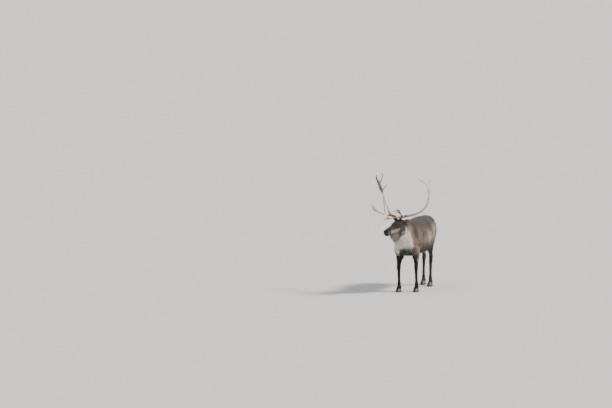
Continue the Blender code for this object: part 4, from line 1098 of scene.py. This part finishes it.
def coatSizes(place):
    # length and width of a tuft at each point of the skin
    x, y, z = place.T
    length = 0.034 + 0.008 * ramp(z, 1.05, 1.12) + 0.010 * (1 - ramp(z, 0.58, 0.68))
    width = 0.0052 * np.ones(len(place))
    # the mane grows longest down the throat
    mane = (1 - ramp(neckEdge(y, z), -0.10, 0.02)) * ramp(z, 0.54, 0.62)
    hem = whiteFloor(x, y) + 0.020 * ripple(place, 0.022, 5) - 0.006
    hang = z - np.where(whiteness(place) > 0.5, hem, maneUnder(y))
    maneLength = np.minimum(0.055 + 0.100 * (1 - ramp(z, 0.74, 1.04)), hang / 0.92 + 0.008)
    a, r, o = headSpace(place)
    onFace = ramp(a, 0.0, 0.07) * ramp(r, -0.165, -0.135) * (1 - ramp(np.abs(o), 0.12, 0.15))
    faceLength = 0.020 - 0.013 * ramp(a, 0.08, 0.30) - 0.0035 * ramp(a, 0.34, 0.41)
    for share, long, wide in (
        (1 - ramp(z, 0.46, 0.62), 0.0135, 0.0040),
        (1 - ramp(z, 0.08, 0.14), 0.013, None),
        (mane, np.clip(maneLength, 0.040, 0.160), 0.0070),
        (onFace, faceLength, 0.0026 - 0.0010 * ramp(a, 0.2, 0.38)),
        (beardAt(place), 0.125 - 0.60 * np.clip(a - 0.20, 0, 0.12), 0.0060),
        (earNearness(place), 0.013, 0.0022),
        (ramp(y, 0.590, 0.604) * (np.abs(x) < 0.05) * (z > 0.80) * (z < 1.02), 0.052, 0.0060),
    ):
        length = toward(length, long, share)
        width = width if wide is None else toward(width, wide, share)
    return length, width


def growing(place):
    # 0 on the eyes, the nostrils, the lips, the tops of the hooves and under the antlers, else 1
    a, r, o = headSpace(place)
    ex, er, _ = headForm["eye"]
    na, nr, _ = face["nostril"]
    bare = (np.hypot((a - ex) / 0.019, (r - er) / 0.0135) < 1.0) & (np.abs(o) > 0.04)
    bare |= (np.sqrt(((a - na) / 0.016) ** 2 + ((r - nr) / 0.011) ** 2) < 1.0) & (a > 0.38)
    bare |= (lineDistance(a, r, face["mouth"]) < 0.004) & (a > 0.28)
    bare |= place[:, 2] < stance["hoofHeight"] + 0.002
    for sign in sides.values():
        bare |= np.linalg.norm(place - np.array(pedicleTop(sign)), axis=1) < 0.016
    return np.where(bare, 0.0, 1.0)


def growCoat(skinTable, tree, groups, finishes):
    owner = pieceOfCoat(skinTable)
    length, width = coatSizes(skinTable.place)
    grows = growing(skinTable.place)
    made = []
    for index, (name, (style, lift, stray, most, seed)) in enumerate(coatPieces.items()):
        mine = owner == index
        area = skinTable.area[mine]
        used, faces = np.unique(skinTable.faces[mine], return_inverse=True)
        faces = faces.reshape(-1, 3)
        place = skinTable.place[used]
        density = densityAt(width[used]) * grows[used]
        mesh = bpy.data.meshes.new(name)
        mesh.from_pydata(place, [], faces)
        addValues(mesh, "lie", skinTable.lie[used])
        addValues(mesh, "marking", withAlpha(skinTable.colour[used]))
        addValues(mesh, "coatLength", length[used])
        addValues(mesh, "coatWidth", width[used])
        addValues(mesh, "coatDensity", density)
        layer = mesh.uv_layers.new(name="skinPlace")
        layer.uv.foreach_set("vector", unwrapFor(name, place, faces).astype(np.float32).ravel())
        each = strands * (6 * (tufts[style]["joints"] - 1) + 4)
        share = float(np.average(density[faces].mean(axis=1), weights=area))
        perMetre = most / each / (area.sum() * max(share, 0.05))
        obj = objectFrom(mesh, name)
        grow = obj.modifiers.new("grow", "NODES")
        grow.node_group = tree
        values = {
            "Tufts": groups[style], "Tufts per square metre": perMetre * 1.0 * 1.35,
            "Least gap": 0.55 / math.sqrt(perMetre), "Lift": lift, "Stray": stray, "Length spread": 0.35,
            "Patch size": 0.003, "Seed": seed, "Finish": finishes[style],
        }
        for socket in tree.interface.items_tree:
            if socket.in_out == "INPUT" and socket.name in values:
                grow[socket.identifier] = values[socket.name]
        applied(obj)
        for spare in ("lie", "coatLength", "coatWidth", "coatDensity", "rootPlace", "patch", "skinPlace"):
            layer = obj.data.attributes.get(spare)
            if layer:
                obj.data.attributes.remove(layer)
        obj.data.calc_loop_triangles()
        print("coat:", name, len(obj.data.loop_triangles), "triangles")
        made.append(obj)
    return made


def densityAt(width):
    # small tufts stand closer together
    return np.clip((width.min() / width) ** 1.4, 0.12, 1.0)


def unwrapFor(name, place, faces):
    if name.endswith("Legs"):
        uv = np.zeros((len(faces), 3, 2))
        left = place[faces].mean(axis=1)[:, 0] > 0
        for index, chosen in enumerate((left, ~left)):
            centre = place[faces[chosen]].mean(axis=(0, 1))
            uv[chosen] = unwrapRound(place, faces[chosen], centre, (0, 0, 1), 2, index)
        return uv
    for part, centre, axis in (
        ("coatHead", onHead(0, -0.01, 0), along),
        ("tailHair", (0, 0.64, 0.92), (0, 0, 1)),
        ("mane", (0, -0.60, 0.93), (0, -1, 0)),
        ("coat", (0, 0, 0.88), (0, 1, 0)),
    ):
        if name.startswith(part):
            return unwrapRound(place, faces, centre, axis)


# Antlers: points as (out, forward, up) from the pedicle's top, half width, half thickness
antlers = {
    "left": {
        "beam": [
            (0, 0, -0.002, 0.02, 0.02), (0.002, -0.002, 0.006, 0.0208, 0.02),
            (0.016, -0.014, 0.018, 0.021, 0.019), (0.055, -0.057, 0.03, 0.0185, 0.0165),
            (0.135, -0.146, 0.048, 0.0165, 0.015), (0.2, -0.205, 0.075, 0.016, 0.0145),
            (0.268, -0.243, 0.122, 0.0155, 0.014), (0.318, -0.256, 0.182, 0.0155, 0.014),
            (0.355, -0.257, 0.254, 0.0155, 0.0135), (0.376, -0.25, 0.335, 0.0165, 0.0125),
            (0.386, -0.24, 0.41, 0.022, 0.011), (0.388, -0.232, 0.465, 0.033, 0.0095),
            (0.384, -0.226, 0.52, 0.034, 0.0085), (0.374, -0.205, 0.552, 0.025, 0.0085),
            (0.36, -0.15, 0.58, 0.015, 0.0085), (0.338, -0.07, 0.624, 0.011, 0.008),
            (0.31, 0.01, 0.684, 0.004, 0.004),
        ],
        "upTine": [
            (0.384, -0.24, 0.505, 0.015, 0.008), (0.394, -0.262, 0.566, 0.012, 0.0075),
            (0.395, -0.248, 0.617, 0.0085, 0.0065), (0.386, -0.238, 0.655, 0.0035, 0.0035),
        ],
        "backTine": [
            (0.387, -0.24, 0.42, 0.014, 0.008), (0.391, -0.29, 0.436, 0.011, 0.0075),
            (0.396, -0.345, 0.462, 0.004, 0.004),
        ],
        "brow": [
            (0, 0, 0.008, 0.012, 0.012), (0.006, 0.04, 0.018, 0.0105, 0.01),
            (0.004, 0.09, 0.024, 0.008, 0.0075), (-0.002, 0.135, 0.022, 0.0035, 0.0035),
        ],
        "bez": [
            (0.024, -0.02, 0.022, 0.013, 0.012), (0.034, 0.02, 0.05, 0.0135, 0.011),
            (0.046, 0.07, 0.085, 0.015, 0.0105), (0.052, 0.126, 0.118, 0.024, 0.0085),
            (0.06, 0.185, 0.138, 0.026, 0.008), (0.066, 0.245, 0.146, 0.016, 0.008),
            (0.064, 0.33, 0.15, 0.011, 0.0075), (0.056, 0.41, 0.164, 0.004, 0.004),
        ],
        "bezPoint": [
            (0.054, 0.12, 0.112, 0.012, 0.008), (0.07, 0.128, 0.145, 0.009, 0.007),
            (0.092, 0.132, 0.176, 0.0035, 0.0035),
        ],
    },
    "right": {
        "beam": [
            (0, 0, -0.002, 0.02, 0.02), (-0.002, -0.001, 0.006, 0.0208, 0.02),
            (-0.02, -0.007, 0.017, 0.021, 0.019), (-0.07, -0.014, 0.03, 0.0185, 0.0165),
            (-0.132, -0.04, 0.048, 0.0165, 0.015), (-0.185, -0.086, 0.082, 0.016, 0.0145),
            (-0.236, -0.134, 0.132, 0.0155, 0.014), (-0.29, -0.166, 0.2, 0.0155, 0.014),
            (-0.332, -0.182, 0.272, 0.0155, 0.0135), (-0.365, -0.183, 0.35, 0.017, 0.0125),
            (-0.378, -0.168, 0.402, 0.026, 0.011), (-0.388, -0.14, 0.46, 0.031, 0.0095),
            (-0.392, -0.1, 0.53, 0.025, 0.009), (-0.39, -0.055, 0.576, 0.015, 0.0085),
            (-0.384, -0.018, 0.622, 0.011, 0.008), (-0.37, -0.003, 0.672, 0.004, 0.004),
        ],
        "upTine": [
            (-0.391, -0.115, 0.5, 0.015, 0.008), (-0.391, -0.16, 0.56, 0.0115, 0.0075),
            (-0.39, -0.205, 0.619, 0.0085, 0.0065), (-0.376, -0.192, 0.69, 0.0035, 0.0035),
        ],
        "backTine": [
            (-0.38, -0.165, 0.405, 0.014, 0.008), (-0.392, -0.225, 0.415, 0.012, 0.008),
            (-0.396, -0.28, 0.442, 0.009, 0.007), (-0.39, -0.345, 0.49, 0.0035, 0.0035),
        ],
        "brow": [
            (0, 0.002, 0.008, 0.014, 0.013), (0.006, 0.06, 0.006, 0.0125, 0.011),
            (0.014, 0.13, 0, 0.012, 0.01), (0.022, 0.215, 0.004, 0.015, 0.0095),
            (0.027, 0.275, 0.014, 0.042, 0.008), (0.03, 0.33, 0.026, 0.078, 0.007),
            (0.03, 0.372, 0.034, 0.09, 0.006), (0.03, 0.394, 0.038, 0.082, 0.0045),
        ],
        "browPoint": [
            (0.03, 0.35, 0.085, 0.016, 0.0065), (0.029, 0.374, 0.16, 0.01, 0.0065),
            (0.026, 0.39, 0.258, 0.008, 0.006), (0.02, 0.404, 0.38, 0.003, 0.003),
        ],
        "bez": [
            (-0.06, -0.012, 0.028, 0.013, 0.012), (-0.092, 0.034, 0.036, 0.0135, 0.0115),
            (-0.14, 0.128, 0.066, 0.013, 0.0105), (-0.182, 0.202, 0.096, 0.014, 0.0095),
            (-0.216, 0.262, 0.134, 0.023, 0.0085), (-0.236, 0.302, 0.172, 0.022, 0.008),
            (-0.246, 0.326, 0.212, 0.012, 0.0075), (-0.251, 0.344, 0.262, 0.0035, 0.0035),
        ],
        "bezPoint": [
            (-0.22, 0.266, 0.14, 0.012, 0.008), (-0.22, 0.284, 0.186, 0.0085, 0.007),
            (-0.222, 0.302, 0.232, 0.0035, 0.0035),
        ],
    },
    "flat": {"beam": -antlerForward, "upTine": -antlerForward, "backTine": up, "brow": up,
             "browPoint": antlerForward, "bez": up, "bezPoint": antlerOut},
    "beamGain": 1.2,  # how much stouter the beam is than its rows say
    "shovelPoints": [(-0.042, 0.424, -0.052), (-0.008, 0.440, -0.014), (0.030, 0.434, 0.032),
                     (0.068, 0.424, 0.078), (0.098, 0.412, 0.116)],  # up at the root, reach, up at the tip
    "voxel": 0.0021,
    "triangles": 70000,
}


def antlerPath(sign, rows, steps, gain=1.0):
    root = pedicleTop(sign)
    return [(*(root + antlerOut * out + antlerForward * forward + up * high), half * gain, thick * gain)
            for out, forward, high, half, thick in smoothRows(rows, steps)]


def antlerFrames(path, flat):
    # for each row of a path: its middle, its two ways across, the run so far and its thickness
    frames, run, last = [], 0.0, Vector(path[0][:3])
    for row, (point, across, over) in zip(path, waysAcross(path, flat)):
        run += (point - last).length
        last = point
        frames.append((*point, *across, *over, run, row[4]))
    return frames


def makeAntler(side, finish):
    sign = sides[side]
    forms, frames = [], []
    for name, rows in antlers[side].items():
        path = antlerPath(sign, rows, 8, antlers["beamGain"] if name == "beam" else 1.0)
        frames += antlerFrames(path, antlers["flat"][name])
        forms.append(sweepLimb(path, 20, antlers["flat"][name]))
    for low, reach, high in antlers["shovelPoints"] if side == "right" else ():
        rows = [(0.030, 0.372, low, 0.0120, 0.0058),
                (0.030, (0.372 + reach) / 2, (low + high) / 2, 0.0095, 0.0054),
                (0.030, reach, high, 0.0028, 0.0028)]
        forms.append(sweepLimb(antlerPath(sign, rows, 5), 16, up))
    base = pedicleTop(sign) + up * 0.0045
    for i in range(13):  # beads of the burr
        turn = 2 * math.pi * i / 13
        spot = base + Vector((math.cos(turn), math.sin(turn), 0)) * 0.0235
        forms.append(ballMesh(spot, (0.0060, 0.0060, 0.0050), worldAxes, 10, 8))
    obj = meltTogether(forms, f"antler_{side}_bone", antlers["voxel"] * (1.0), 3)
    place, facing = readPoints(obj.data)
    root = np.array(pedicleTop(sign))
    reach = np.full(len(place), 9.0)
    grain = np.zeros((len(place), 3))
    thick = np.zeros(len(place))
    for frameRow in np.array(frames):
        off = place - frameRow[:3]
        gap = np.linalg.norm(off, axis=1)
        closer = gap < reach
        reach = np.where(closer, gap, reach)
        thick = np.where(closer, frameRow[10], thick)
        run = np.full(len(off), frameRow[9] * 0.10)
        here = np.stack([off @ frameRow[3:6], off @ frameRow[6:9], run], 1)
        grain = np.where(closer[:, None], here, grain)
    fromRoot = np.linalg.norm(place - root, axis=1)
    # pearls near the base and long shallow grooves along the beam
    pearls = ripple(place, 0.006, 21) * (1 - ramp(fromRoot, 0.10, 0.30))
    grooves = ripple(grain, 0.0055, 22)
    move = 0.0010 * pearls + 0.0009 * grooves * ramp(thick, 0.004, 0.010)
    place = place + facing * move[:, None]
    place[:, 2] = np.maximum(place[:, 2], pedicleTop(sign).z + 0.0004)
    writePoints(obj.data, place)
    local = place - root
    forward = local @ np.array(antlerForward)
    tip = 1 - ramp(thick, 0.0040, 0.0075)
    stain = 0.9 * (1 - ramp(fromRoot, 0.05, 0.26)) + 0.35 * (1 - ramp(fromRoot, 0.2, 0.45))
    stain = stain + 0.30 * np.clip(-grooves, 0, 1)
    if side == "left":
        stain = np.maximum(stain, 0.9 * ramp(forward, -0.02, 0.05) * (1 - ramp(fromRoot, 0.26, 0.36)))
    # the right antler's top tines and its rising brow prong are darker, and not paler at their tips
    darkTineShare = np.zeros(len(place))
    if side == "right":
        darkTineShare = ramp(local[:, 2] + 0.012 * ripple(place, 0.03, 23), 0.350, 0.400)
        darkTineShare = np.maximum(darkTineShare, 0.8 * ramp(forward, 0.36, 0.385) * ramp(local[:, 2], 0.10, 0.14))
    addValues(obj.data, "tip", tip * (1 - darkTineShare))
    addValues(obj.data, "stain", np.clip(stain, 0, 1))
    addValues(obj.data, "peat", darkTineShare)
    addValues(obj.data, "grain", grain)
    thinOut(obj, antlers["triangles"])
    obj.data.materials.append(finish)
    nodes = [node for node in frame["nodes"] if node.startswith(f"antler_{side}_")]
    standPiece(obj, "antler", *nodes)


def mixedColour(tree, first, second, amount):
    # a colour is another node's socket or three numbers
    inputs = {"Factor": amount}
    for key, tone in ((6, first), (7, second)):
        inputs[key] = (*tone, 1) if isinstance(tone, tuple) else tone
    return addNode(tree, "ShaderNodeMix", inputs, data_type="RGBA").outputs[2]


def antlerMaterial():
    made, tree, shader = newMaterial("antlerBone")
    grain = attributeOf(tree, "grain", "Vector")
    inputs = {"Vector": grain, "Scale": 190.0, "Detail": 5.0, "Roughness": 0.6}
    streaks = addNode(tree, "ShaderNodeTexNoise", inputs).outputs["Fac"]
    blotch = noiseOn(tree, 16.0)
    stain = addNode(tree, "ShaderNodeMath", {0: attributeOf(tree, "stain"), 1: 0.85,
                                             2: shadeRange(tree, blotch, -0.20, 0.30)},
                    operation="MULTIPLY_ADD", use_clamp=True).outputs[0]
    colour = mixedColour(tree, (0.64, 0.54, 0.41), (0.15, 0.050, 0.026), stain)
    colour = mixedColour(tree, colour, (0.80, 0.73, 0.60), attributeOf(tree, "tip"))
    # darker over the right antler's top tines and brow prong
    peat = multiplied(tree, attributeOf(tree, "peat"), shadeRange(tree, blotch, 0.75, 1.0))
    colour = mixedColour(tree, colour, (0.050, 0.030, 0.022), peat)
    feed(tree, shader, {"Base Color": scaledColour(tree, colour, shadeRange(tree, streaks, 0.72, 1.18)),
                        "Roughness": shadeRange(tree, streaks, 0.60, 0.42), "Specular IOR Level": 0.4,
                        "Normal": bumpFrom(tree, streaks, 0.0016, 0.7)})
    return made


# Hooves and dewclaws
hoof = {
    "length": 0.112,
    "width": 0.044,
    "split": 0.0035,
    "levels": [(0.0, 1.0, 0.0), (0.014, 1.0, 0.0), (0.034, 0.93, 0.004), (0.055, 0.78, 0.012)],
    "dewclawRoot": Vector((0.0165, 0.045, 0.096)),
    "dewclawWay": Vector((0.0, 0.60, -0.80)),
    "dewclaw": [(0.0, 0.0, 0.0120), (0.010, 0.0, 0.0130), (0.024, 0.004, 0.0125),
                (0.038, 0.010, 0.0085), (0.046, 0.016, 0.0035)],
}


def clawOutline(scale, back):
    points = []
    for t in np.linspace(0, 1, 25):
        y = hoof["length"] * (0.42 - t)
        bulge = hoof["width"] * max(math.sin(math.pi * (0.10 + 0.84 * t) ** 0.85), 0.0) ** 0.6
        points.append((bulge * scale, y * scale + back))
    points.append((0.0035 * scale, -hoof["length"] * 0.588 * scale + back))
    for t in np.linspace(0, 1, 9):
        y = hoof["length"] * (-0.50 + 0.90 * t)
        points.append((0.0012 * math.sin(math.pi * t) * scale, y * scale + back))
    return points


def clawPlace(kind, side, which):
    return stance[kind + "Foot"][side], sides[side] * (1 if which == "outer" else -1)


def makeHoof(kind, side, which, finish):
    foot, hand = clawPlace(kind, side, which)
    rings = []
    rows = [(0.0, 0.965, 0.0005), (0.0018, 0.992, 0.0)] + list(smoothRows(hoof["levels"], 7))[1:]
    rows.append((stance["hoofHeight"], 0.70, 0.0135))
    for height, scale, back in rows:
        ridge = 1 + (0.006 * math.sin(height * 1150) if 0.004 < height < 0.05 else 0.0)
        rings.append([Vector((foot.x + hand * (x * ridge + hoof["split"]), foot.y + y, height))
                      for x, y in clawOutline(scale, back)])
    obj = objectFrom(loftRings(rings, "claw"), f"hoof_{kind}_{side}_{which}_horn")
    obj.data.materials.append(finish)
    standPiece(obj, "horn", f"hoof_{kind}_{side}_{which}")
    obj.data.set_sharp_from_angle(angle=math.radians(50))


def makeDewclaw(kind, side, which, finish):
    foot, hand = clawPlace(kind, side, which)
    start = hoof["dewclawRoot"]
    root = foot + Vector((hand * start.x, start.y, start.z))
    way = hoof["dewclawWay"]
    rows = []
    for run, drop, half in smoothRows(hoof["dewclaw"], 5):
        ring = 1 + 0.02 * math.sin(run * 1400)
        rows.append((*(root + way * (run - 0.002) - up * drop), half * ring, half * 0.8 * ring))
    claw = sweepLimb(rows, 18, Vector((1, 0, 0)), "dewclaw")
    obj = objectFrom(claw, f"dewclaw_{kind}_{side}_{which}_horn")
    obj.data.materials.append(finish)
    standPiece(obj, "horn", f"dewclaw_{kind}_{side}_{which}")


def hornMaterial():
    made, tree, shader = newMaterial("hoofHorn")
    rings = noiseOn(tree, 60.0, 4.0, (0.25, 0.25, 3.0))
    scuffs = noiseOn(tree, 90.0)
    amount = multiplied(tree, shadeRange(tree, rings, 0.6, 1.7), shadeRange(tree, scuffs, 0.8, 1.5))
    feed(tree, shader, {"Base Color": scaledColour(tree, (0.040, 0.034, 0.030), amount),
                        "Roughness": shadeRange(tree, scuffs, 0.35, 0.62),
                        "Normal": bumpFrom(tree, rings, 0.0010)})
    return made


# Eyes
def makeEye(side, finish):
    a, r, o = headForm["eye"]
    sign = sides[side]
    centre = onHead(a, r, sign * o)
    radius = headForm["eyeRadius"]
    obj = objectFrom(ballMesh(centre, (radius,) * 3, headAxes, 56, 40), f"eye_{side}_ball")
    place, _ = readPoints(obj.data)
    local = (place - np.array(centre)) / radius
    gaze = np.array((outward * sign * 0.95 + along * 0.28 + rise * 0.05).normalized())
    facing = local @ gaze
    bulge = 0.0011 * ramp(facing, 0.80, 0.96)
    writePoints(obj.data, place + local * bulge[:, None])
    level = local @ np.array(along) - facing * float(np.dot(gaze, np.array(along)))
    tall = local @ np.array(rise) - facing * float(np.dot(gaze, np.array(rise)))
    iris = np.sqrt(level**2 + tall**2)
    pupil = np.sqrt((level / 0.42) ** 2 + (tall / 0.25) ** 2)
    addValues(obj.data, "iris", (1 - ramp(iris, 0.60, 0.68)) * (facing > 0))
    addValues(obj.data, "pupil", (1 - ramp(pupil, 0.85, 1.08)) * (facing > 0))
    obj.data.materials.append(finish)
    standPiece(obj, "eye", f"eye_{side}")


def eyeMaterial():
    made, tree, shader = newMaterial("wetEye")
    last = mixedColour(tree, (0.020, 0.013, 0.010), (0.046, 0.020, 0.009), attributeOf(tree, "iris"))
    last = mixedColour(tree, last, (0.002, 0.002, 0.004), attributeOf(tree, "pupil"))
    fibres = shadeRange(tree, noiseOn(tree, 420.0, 3.0), 0.6, 1.3)
    feed(tree, shader, {"Base Color": scaledColour(tree, last, fibres), "Roughness": 0.10,
                        "Specular IOR Level": 0.5})
    return made


# Studio
studio = {
    "azimuth": math.radians(22),
    "elevation": math.radians(6),
    "pixelsPerMetre": 62.0,
    "frameWidth": 612,
    "distance": 60.0,
    "aimRight": -1.700,
    "aimUp": 1.397,
    "floor": 300.0,
    "floorColour": (0.56, 0.55, 0.535, 1),
    "key": 5.4,
    "fill": 0.72,
}


def makeStudio():
    made = bmesh.new()
    bmesh.ops.create_grid(made, x_segments=1, y_segments=1, size=studio["floor"])
    floor = objectFrom(meshFrom(made, "floor"), "floor")
    finish, tree, shader = newMaterial("paleFloor")
    feed(tree, shader, {"Base Color": studio["floorColour"], "Roughness": 0.85})
    floor.data.materials.append(finish)
    world = bpy.data.worlds.new("studio")
    world.use_nodes = True
    sky = world.node_tree.nodes["Background"]
    sky.inputs["Color"].default_value = (0.90, 0.94, 1.0, 1)
    sky.inputs["Strength"].default_value = studio["fill"]
    scene.world = world
    a, e = studio["azimuth"], studio["elevation"]
    back = Vector((math.sin(a) * math.cos(e), -math.cos(a) * math.cos(e), math.sin(e)))
    right = Vector((math.cos(a), math.sin(a), 0))
    viewUp = back.cross(right)
    aim = right * studio["aimRight"] + viewUp * studio["aimUp"]
    camera = bpy.data.objects.new("camera", bpy.data.cameras.new("camera"))
    width = studio["frameWidth"] / studio["pixelsPerMetre"]
    camera.data.sensor_width = 36.0
    camera.data.lens = 36.0 * studio["distance"] / width
    camera.data.clip_end = 1000.0
    camera.location = aim + back * studio["distance"]
    camera.rotation_mode = "QUATERNION"
    camera.rotation_quaternion = (-back).to_track_quat("-Z", "Y")
    scene.collection.objects.link(camera)
    scene.camera = camera
    for name, way, power, size, tint in (
        ("key", right * 0.80 + back * 0.12 + up * 0.80, studio["key"], 12, (1.0, 0.95, 0.88)),
        ("soft", -right * 0.8 + back * 0.9 + up * 0.8, studio["key"] * 0.16, 60, (0.92, 0.96, 1.0)),
    ):
        lamp = bpy.data.lights.new(name, "SUN")
        lamp.energy = power
        lamp.angle = math.radians(size)
        lamp.color = tint
        obj = bpy.data.objects.new(name, lamp)
        obj.rotation_mode = "QUATERNION"
        obj.rotation_quaternion = way.normalized().to_track_quat("Z", "Y")
        scene.collection.objects.link(obj)


skin = makeSkin()
skinTable = SkinTable(skin)
addValues(skin.data, "marking", withAlpha(skinTable.colour))
skin.data.materials.append(skinMaterial())
print("coat: growing the tufts")
tree = coatTree()
groups = {style: tuftCollection(style) for style in tufts}
finishes = {"short": coatMaterial("shortCoat", 0.82, 1.10), "long": coatMaterial("longMane", 0.80, 1.08)}
coats = growCoat(skinTable, tree, groups, finishes)
for group in groups.values():
    for tuft in list(group.objects):
        bpy.data.objects.remove(tuft, do_unlink=True)
    bpy.data.collections.remove(group)
legs = [f"leg_{kind}_{side}_{part}"
        for kind in ("fore", "hind") for side in sides for part in ("upper", "lower")]
standPiece(skin, "coat", "head", "neck", "torso", "tail", "ear_left", "ear_right", *legs)
for coat in coats:
    white = coat.name.startswith(("mane", "tail"))
    dark = coat.name.endswith("Legs")
    standPiece(coat, "white_coat" if white else "dark_coat" if dark else "coat")
print("antlers, hooves and eyes")
bone, horn, wet = antlerMaterial(), hornMaterial(), eyeMaterial()
for side in sides:
    makeAntler(side, bone)
    makeEye(side, wet)
    for kind in ("fore", "hind"):
        for which in ("outer", "inner"):
            makeHoof(kind, side, which, horn)
            makeDewclaw(kind, side, which, horn)
makeStudio()
